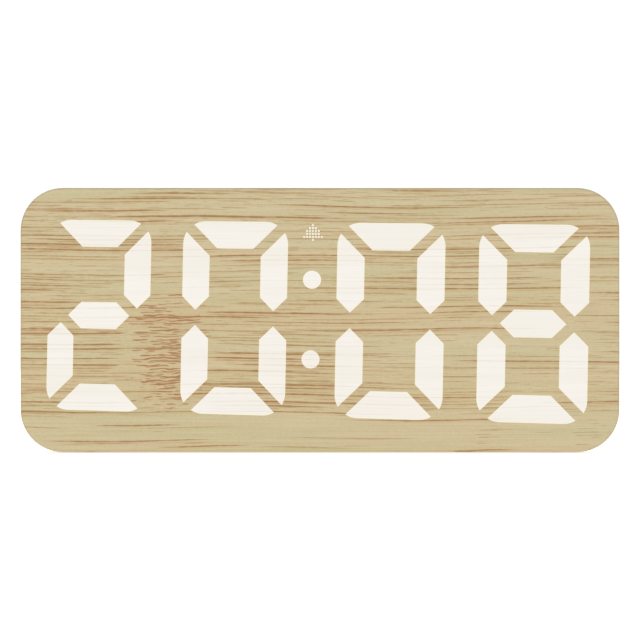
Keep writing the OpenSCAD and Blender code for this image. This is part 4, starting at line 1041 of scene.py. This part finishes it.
wound_place = spring_rule.add("ShaderNodeCombineXYZ", {
    "X": even_place.outputs["X"], "Y": even_place.outputs["Y"], "Z": level})
wound = spring_rule.add("GeometryNodeSetPosition", {"Geometry": spiral, "Position": wound_place})
section = spring_rule.add("GeometryNodeCurvePrimitiveCircle", {"Resolution": WIRE_SIDES, "Radius": wire_r})
coil = spring_rule.add("GeometryNodeCurveToMesh", {
    "Curve": wound, "Profile Curve": section, "Fill Caps": True})
smooth_coil = spring_rule.add("GeometryNodeSetShadeSmooth", {"Geometry": coil})
print("Spring length in mm:", round(spring_length / MM, 2), "coil radius:", round(spring_r / MM, 2))

# %% Springs under the bar
joints = {joint["name"]: joint for joint in frame["record"]["behaviour"]["joints"]}
spring_span = (springs_high.x - springs_low.x - 2 * spring_r, 0.0)
spring_middle = (0.0, (springs_low.y + springs_high.y) / 2, springs_low.z)
spring_copies = spring_rule.copies(spring_rule.grid((2, 1), spring_span, spring_middle), smooth_coil)
snooze_springs = finished(
    spring_rule.mesh(spring_copies, steel), "snooze_springs_made", "case", "snooze_springs")
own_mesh(snooze_springs)

# %% [markdown]
# ## Marks on the keys
# Each key has a plain raised mark in its hollow: a wheel for setting, two triangles for up and down, and
# a sun for the light. The wheel and the sun share one rule, which sets arms round a middle and turns each
# of them outwards. The triangles are filled curves with a small bevel, made into meshes before they are
# placed.

# %% Helpers for marks
MARK_THICK, MARK_BEVEL, MARK_SINK = 0.16, 0.02, 0.30
RING_BEVEL, RING_SIDES = 0.03, 32
mark_paint = moulded("mark_paint", (236, 233, 225), (230, 227, 218), 0.2, 0.008, 0.5)


def to_back(mesh, place):
    """Turns a flat mark to face the back and moves it: its X runs to the left there, its Y up."""
    mesh.transform(Matrix(((-1, 0, 0, place[0]), (0, 0, 1, place[1]), (0, 1, 0, place[2]), (0, 0, 0, 1))))
    return mesh


def key_place(key):
    """The middle of a key's hollow face, a little below its rim."""
    low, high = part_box(key)
    return (low.x + high.x) / 2, high.y - MARK_SINK * MM, (low.z + high.z) / 2


def slab(corners):
    """A flat shape with thickness from its corners in millimetres."""
    shape = bmesh.new()
    base = shape.faces.new([shape.verts.new((x * MM, y * MM, 0.0)) for x, y in corners])
    top = bmesh.ops.extrude_face_region(shape, geom=[base])
    moved = [item for item in top["geom"] if isinstance(item, bmesh.types.BMVert)]
    bmesh.ops.translate(shape, verts=moved, vec=(0, 0, MARK_THICK * MM))
    return shape


def ring_slab(inner, outer):
    """A flat ring with thickness and bevelled upper edges."""
    shoulder = MARK_THICK - RING_BEVEL
    profile = ((outer, 0), (outer, shoulder), (outer - RING_BEVEL, MARK_THICK),
               (inner + RING_BEVEL, MARK_THICK), (inner, shoulder), (inner, 0))
    shape = loft([round_ring(radius, height, RING_SIDES) for radius, height in profile], closed=False)
    shape.verts.ensure_lookup_table()
    first, last = shape.verts[:RING_SIDES], shape.verts[-RING_SIDES:]
    for k in range(RING_SIDES):
        after = (k + 1) % RING_SIDES
        shape.faces.new((first[k], first[after], last[after], last[k]))
    return shape


def radial_mark(name, arm, middle, count, radius):
    """Arms set round a middle by a rule."""
    rule = Rule(name)
    circle = rule.add("GeometryNodeMeshCircle", {
        "Vertices": rule.value("Arms", "Int", count), "Radius": rule.value("Radius", "Float", radius * MM)})
    outwards = rule.add("FunctionNodeAlignRotationToVector", {
        "Vector": rule.add("GeometryNodeInputPosition", {})}, axis="X")
    arms = rule.copies(circle, rule.shape("Arm", arm), Rotation=outwards)
    return rule.mesh(rule.join(arms, rule.shape("Middle", middle)), mark_paint)


def filled(name, curve, finish):
    """A flat curve or text with a little thickness, as a plain closed mesh."""
    curve.dimensions = "2D"
    curve.fill_mode = "BOTH"
    curve.extrude = MARK_THICK / 2 * MM
    curve.bevel_depth = MARK_BEVEL * MM
    curve.bevel_resolution = 1
    holder = bpy.data.objects.new(name, curve)
    scene.collection.objects.link(holder)
    depsgraph = bpy.context.evaluated_depsgraph_get()
    mesh = bpy.data.meshes.new_from_object(holder.evaluated_get(depsgraph), depsgraph=depsgraph)
    bpy.data.objects.remove(holder)
    shape = bmesh.new()
    shape.from_mesh(mesh)
    bmesh.ops.remove_doubles(shape, verts=shape.verts, dist=SAME_PLACE)
    bmesh.ops.recalc_face_normals(shape, faces=shape.faces)
    shape.to_mesh(mesh)
    shape.free()
    mesh.materials.clear()
    mesh.materials.append(finish.material)
    mesh.transform(Matrix.Translation((0, 0, MARK_THICK / 2 * MM)))
    mesh.name = name
    return mesh


print("Thickness of a mark in mm:", MARK_THICK)

# %% Marks on the keys
ARM_COUNT = 8
RAY = ((-0.30, -0.10), (0.30, -0.10), (0.38, 0.0), (0.30, 0.10), (-0.30, 0.10), (-0.38, 0.0))
TOOTH = ((-0.25, -0.36), (0.22, -0.22), (0.22, 0.22), (-0.25, 0.36))
TRIANGLE_HALF, TRIANGLE_TIP, TRIANGLE_FOOT, BLUNT = 1.35, 1.25, -0.95, 0.22
TRIANGLE = ((BLUNT * 0.6, TRIANGLE_TIP), (TRIANGLE_HALF, TRIANGLE_FOOT + BLUNT),
            (TRIANGLE_HALF - BLUNT * 0.5, TRIANGLE_FOOT), (-TRIANGLE_HALF + BLUNT * 0.5, TRIANGLE_FOOT),
            (-TRIANGLE_HALF, TRIANGLE_FOOT + BLUNT), (-BLUNT * 0.6, TRIANGLE_TIP))


def triangle(name, way):
    """A triangle with blunt corners that points up for a way of 1 and down for -1."""
    curve = bpy.data.curves.new(name, "CURVE")
    spline = curve.splines.new("POLY")
    spline.points.add(len(TRIANGLE) - 1)
    for point, (x, y) in zip(spline.points, TRIANGLE):
        point.co = (x * MM, y * way * MM, 0.0, 1.0)
    spline.use_cyclic_u = True
    return filled(name, curve, mark_paint)


sun = radial_mark("light_mark", pattern_object("ray_pattern", slab(RAY)),
                  pattern_object("sun_pattern", ring_slab(0.50, 0.82)), ARM_COUNT, 1.45)
wheel = radial_mark("set_mark", pattern_object("tooth_pattern", slab(TOOTH)),
                    pattern_object("wheel_pattern", ring_slab(0.62, 1.28)), ARM_COUNT, 1.42)
key_marks = []
for key, mesh in (("set", wheel), ("up", triangle("up_mark", 1)), ("down", triangle("down_mark", -1)),
                  ("light", sun)):
    placed = to_back(mesh, key_place(key + "_button"))
    key_marks.append(finished(placed, key + "_mark", key + "_key"))
print("Marks:", [piece.name for piece in key_marks])

# %% [markdown]
# ## Words at the slider
# The slider's two places are marked ON and OFF, printed in the dish below its slot. Text is a curve in
# Blender, so it becomes a mesh in the same way as the triangles.

# %% Words at the slider
WORD_SIZE, WORD_SIDE, WORD_DROP, WORD_SINK = 2.0, 3.3, 4.4, 0.02
DISH_DEPTH = 1.0
slider_low, slider_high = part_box("alarm_slider")
slot_middle = (slider_low.x + slider_high.x) / 2 - joints["alarm_slide"]["range_m"][1] / 2
words_z = (slider_low.z + slider_high.z) / 2 - WORD_DROP * MM
words_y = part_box("rear_cover")[1].y - DISH_DEPTH * MM - WORD_SINK * MM
word_pieces = []
for word, side in (("ON", 1), ("OFF", -1)):
    text = bpy.data.curves.new("word_" + word.lower(), "FONT")
    text.body = word
    text.size = WORD_SIZE * MM
    text.align_x = "CENTER"
    text.align_y = "CENTER"
    lettering = filled(text.name, text, key_plastic)
    to_back(lettering, (slot_middle + side * WORD_SIDE * MM, words_y, words_z))
    word_pieces.append(finished(lettering, text.name, "case"))
print("Words:", [piece.name for piece in word_pieces])
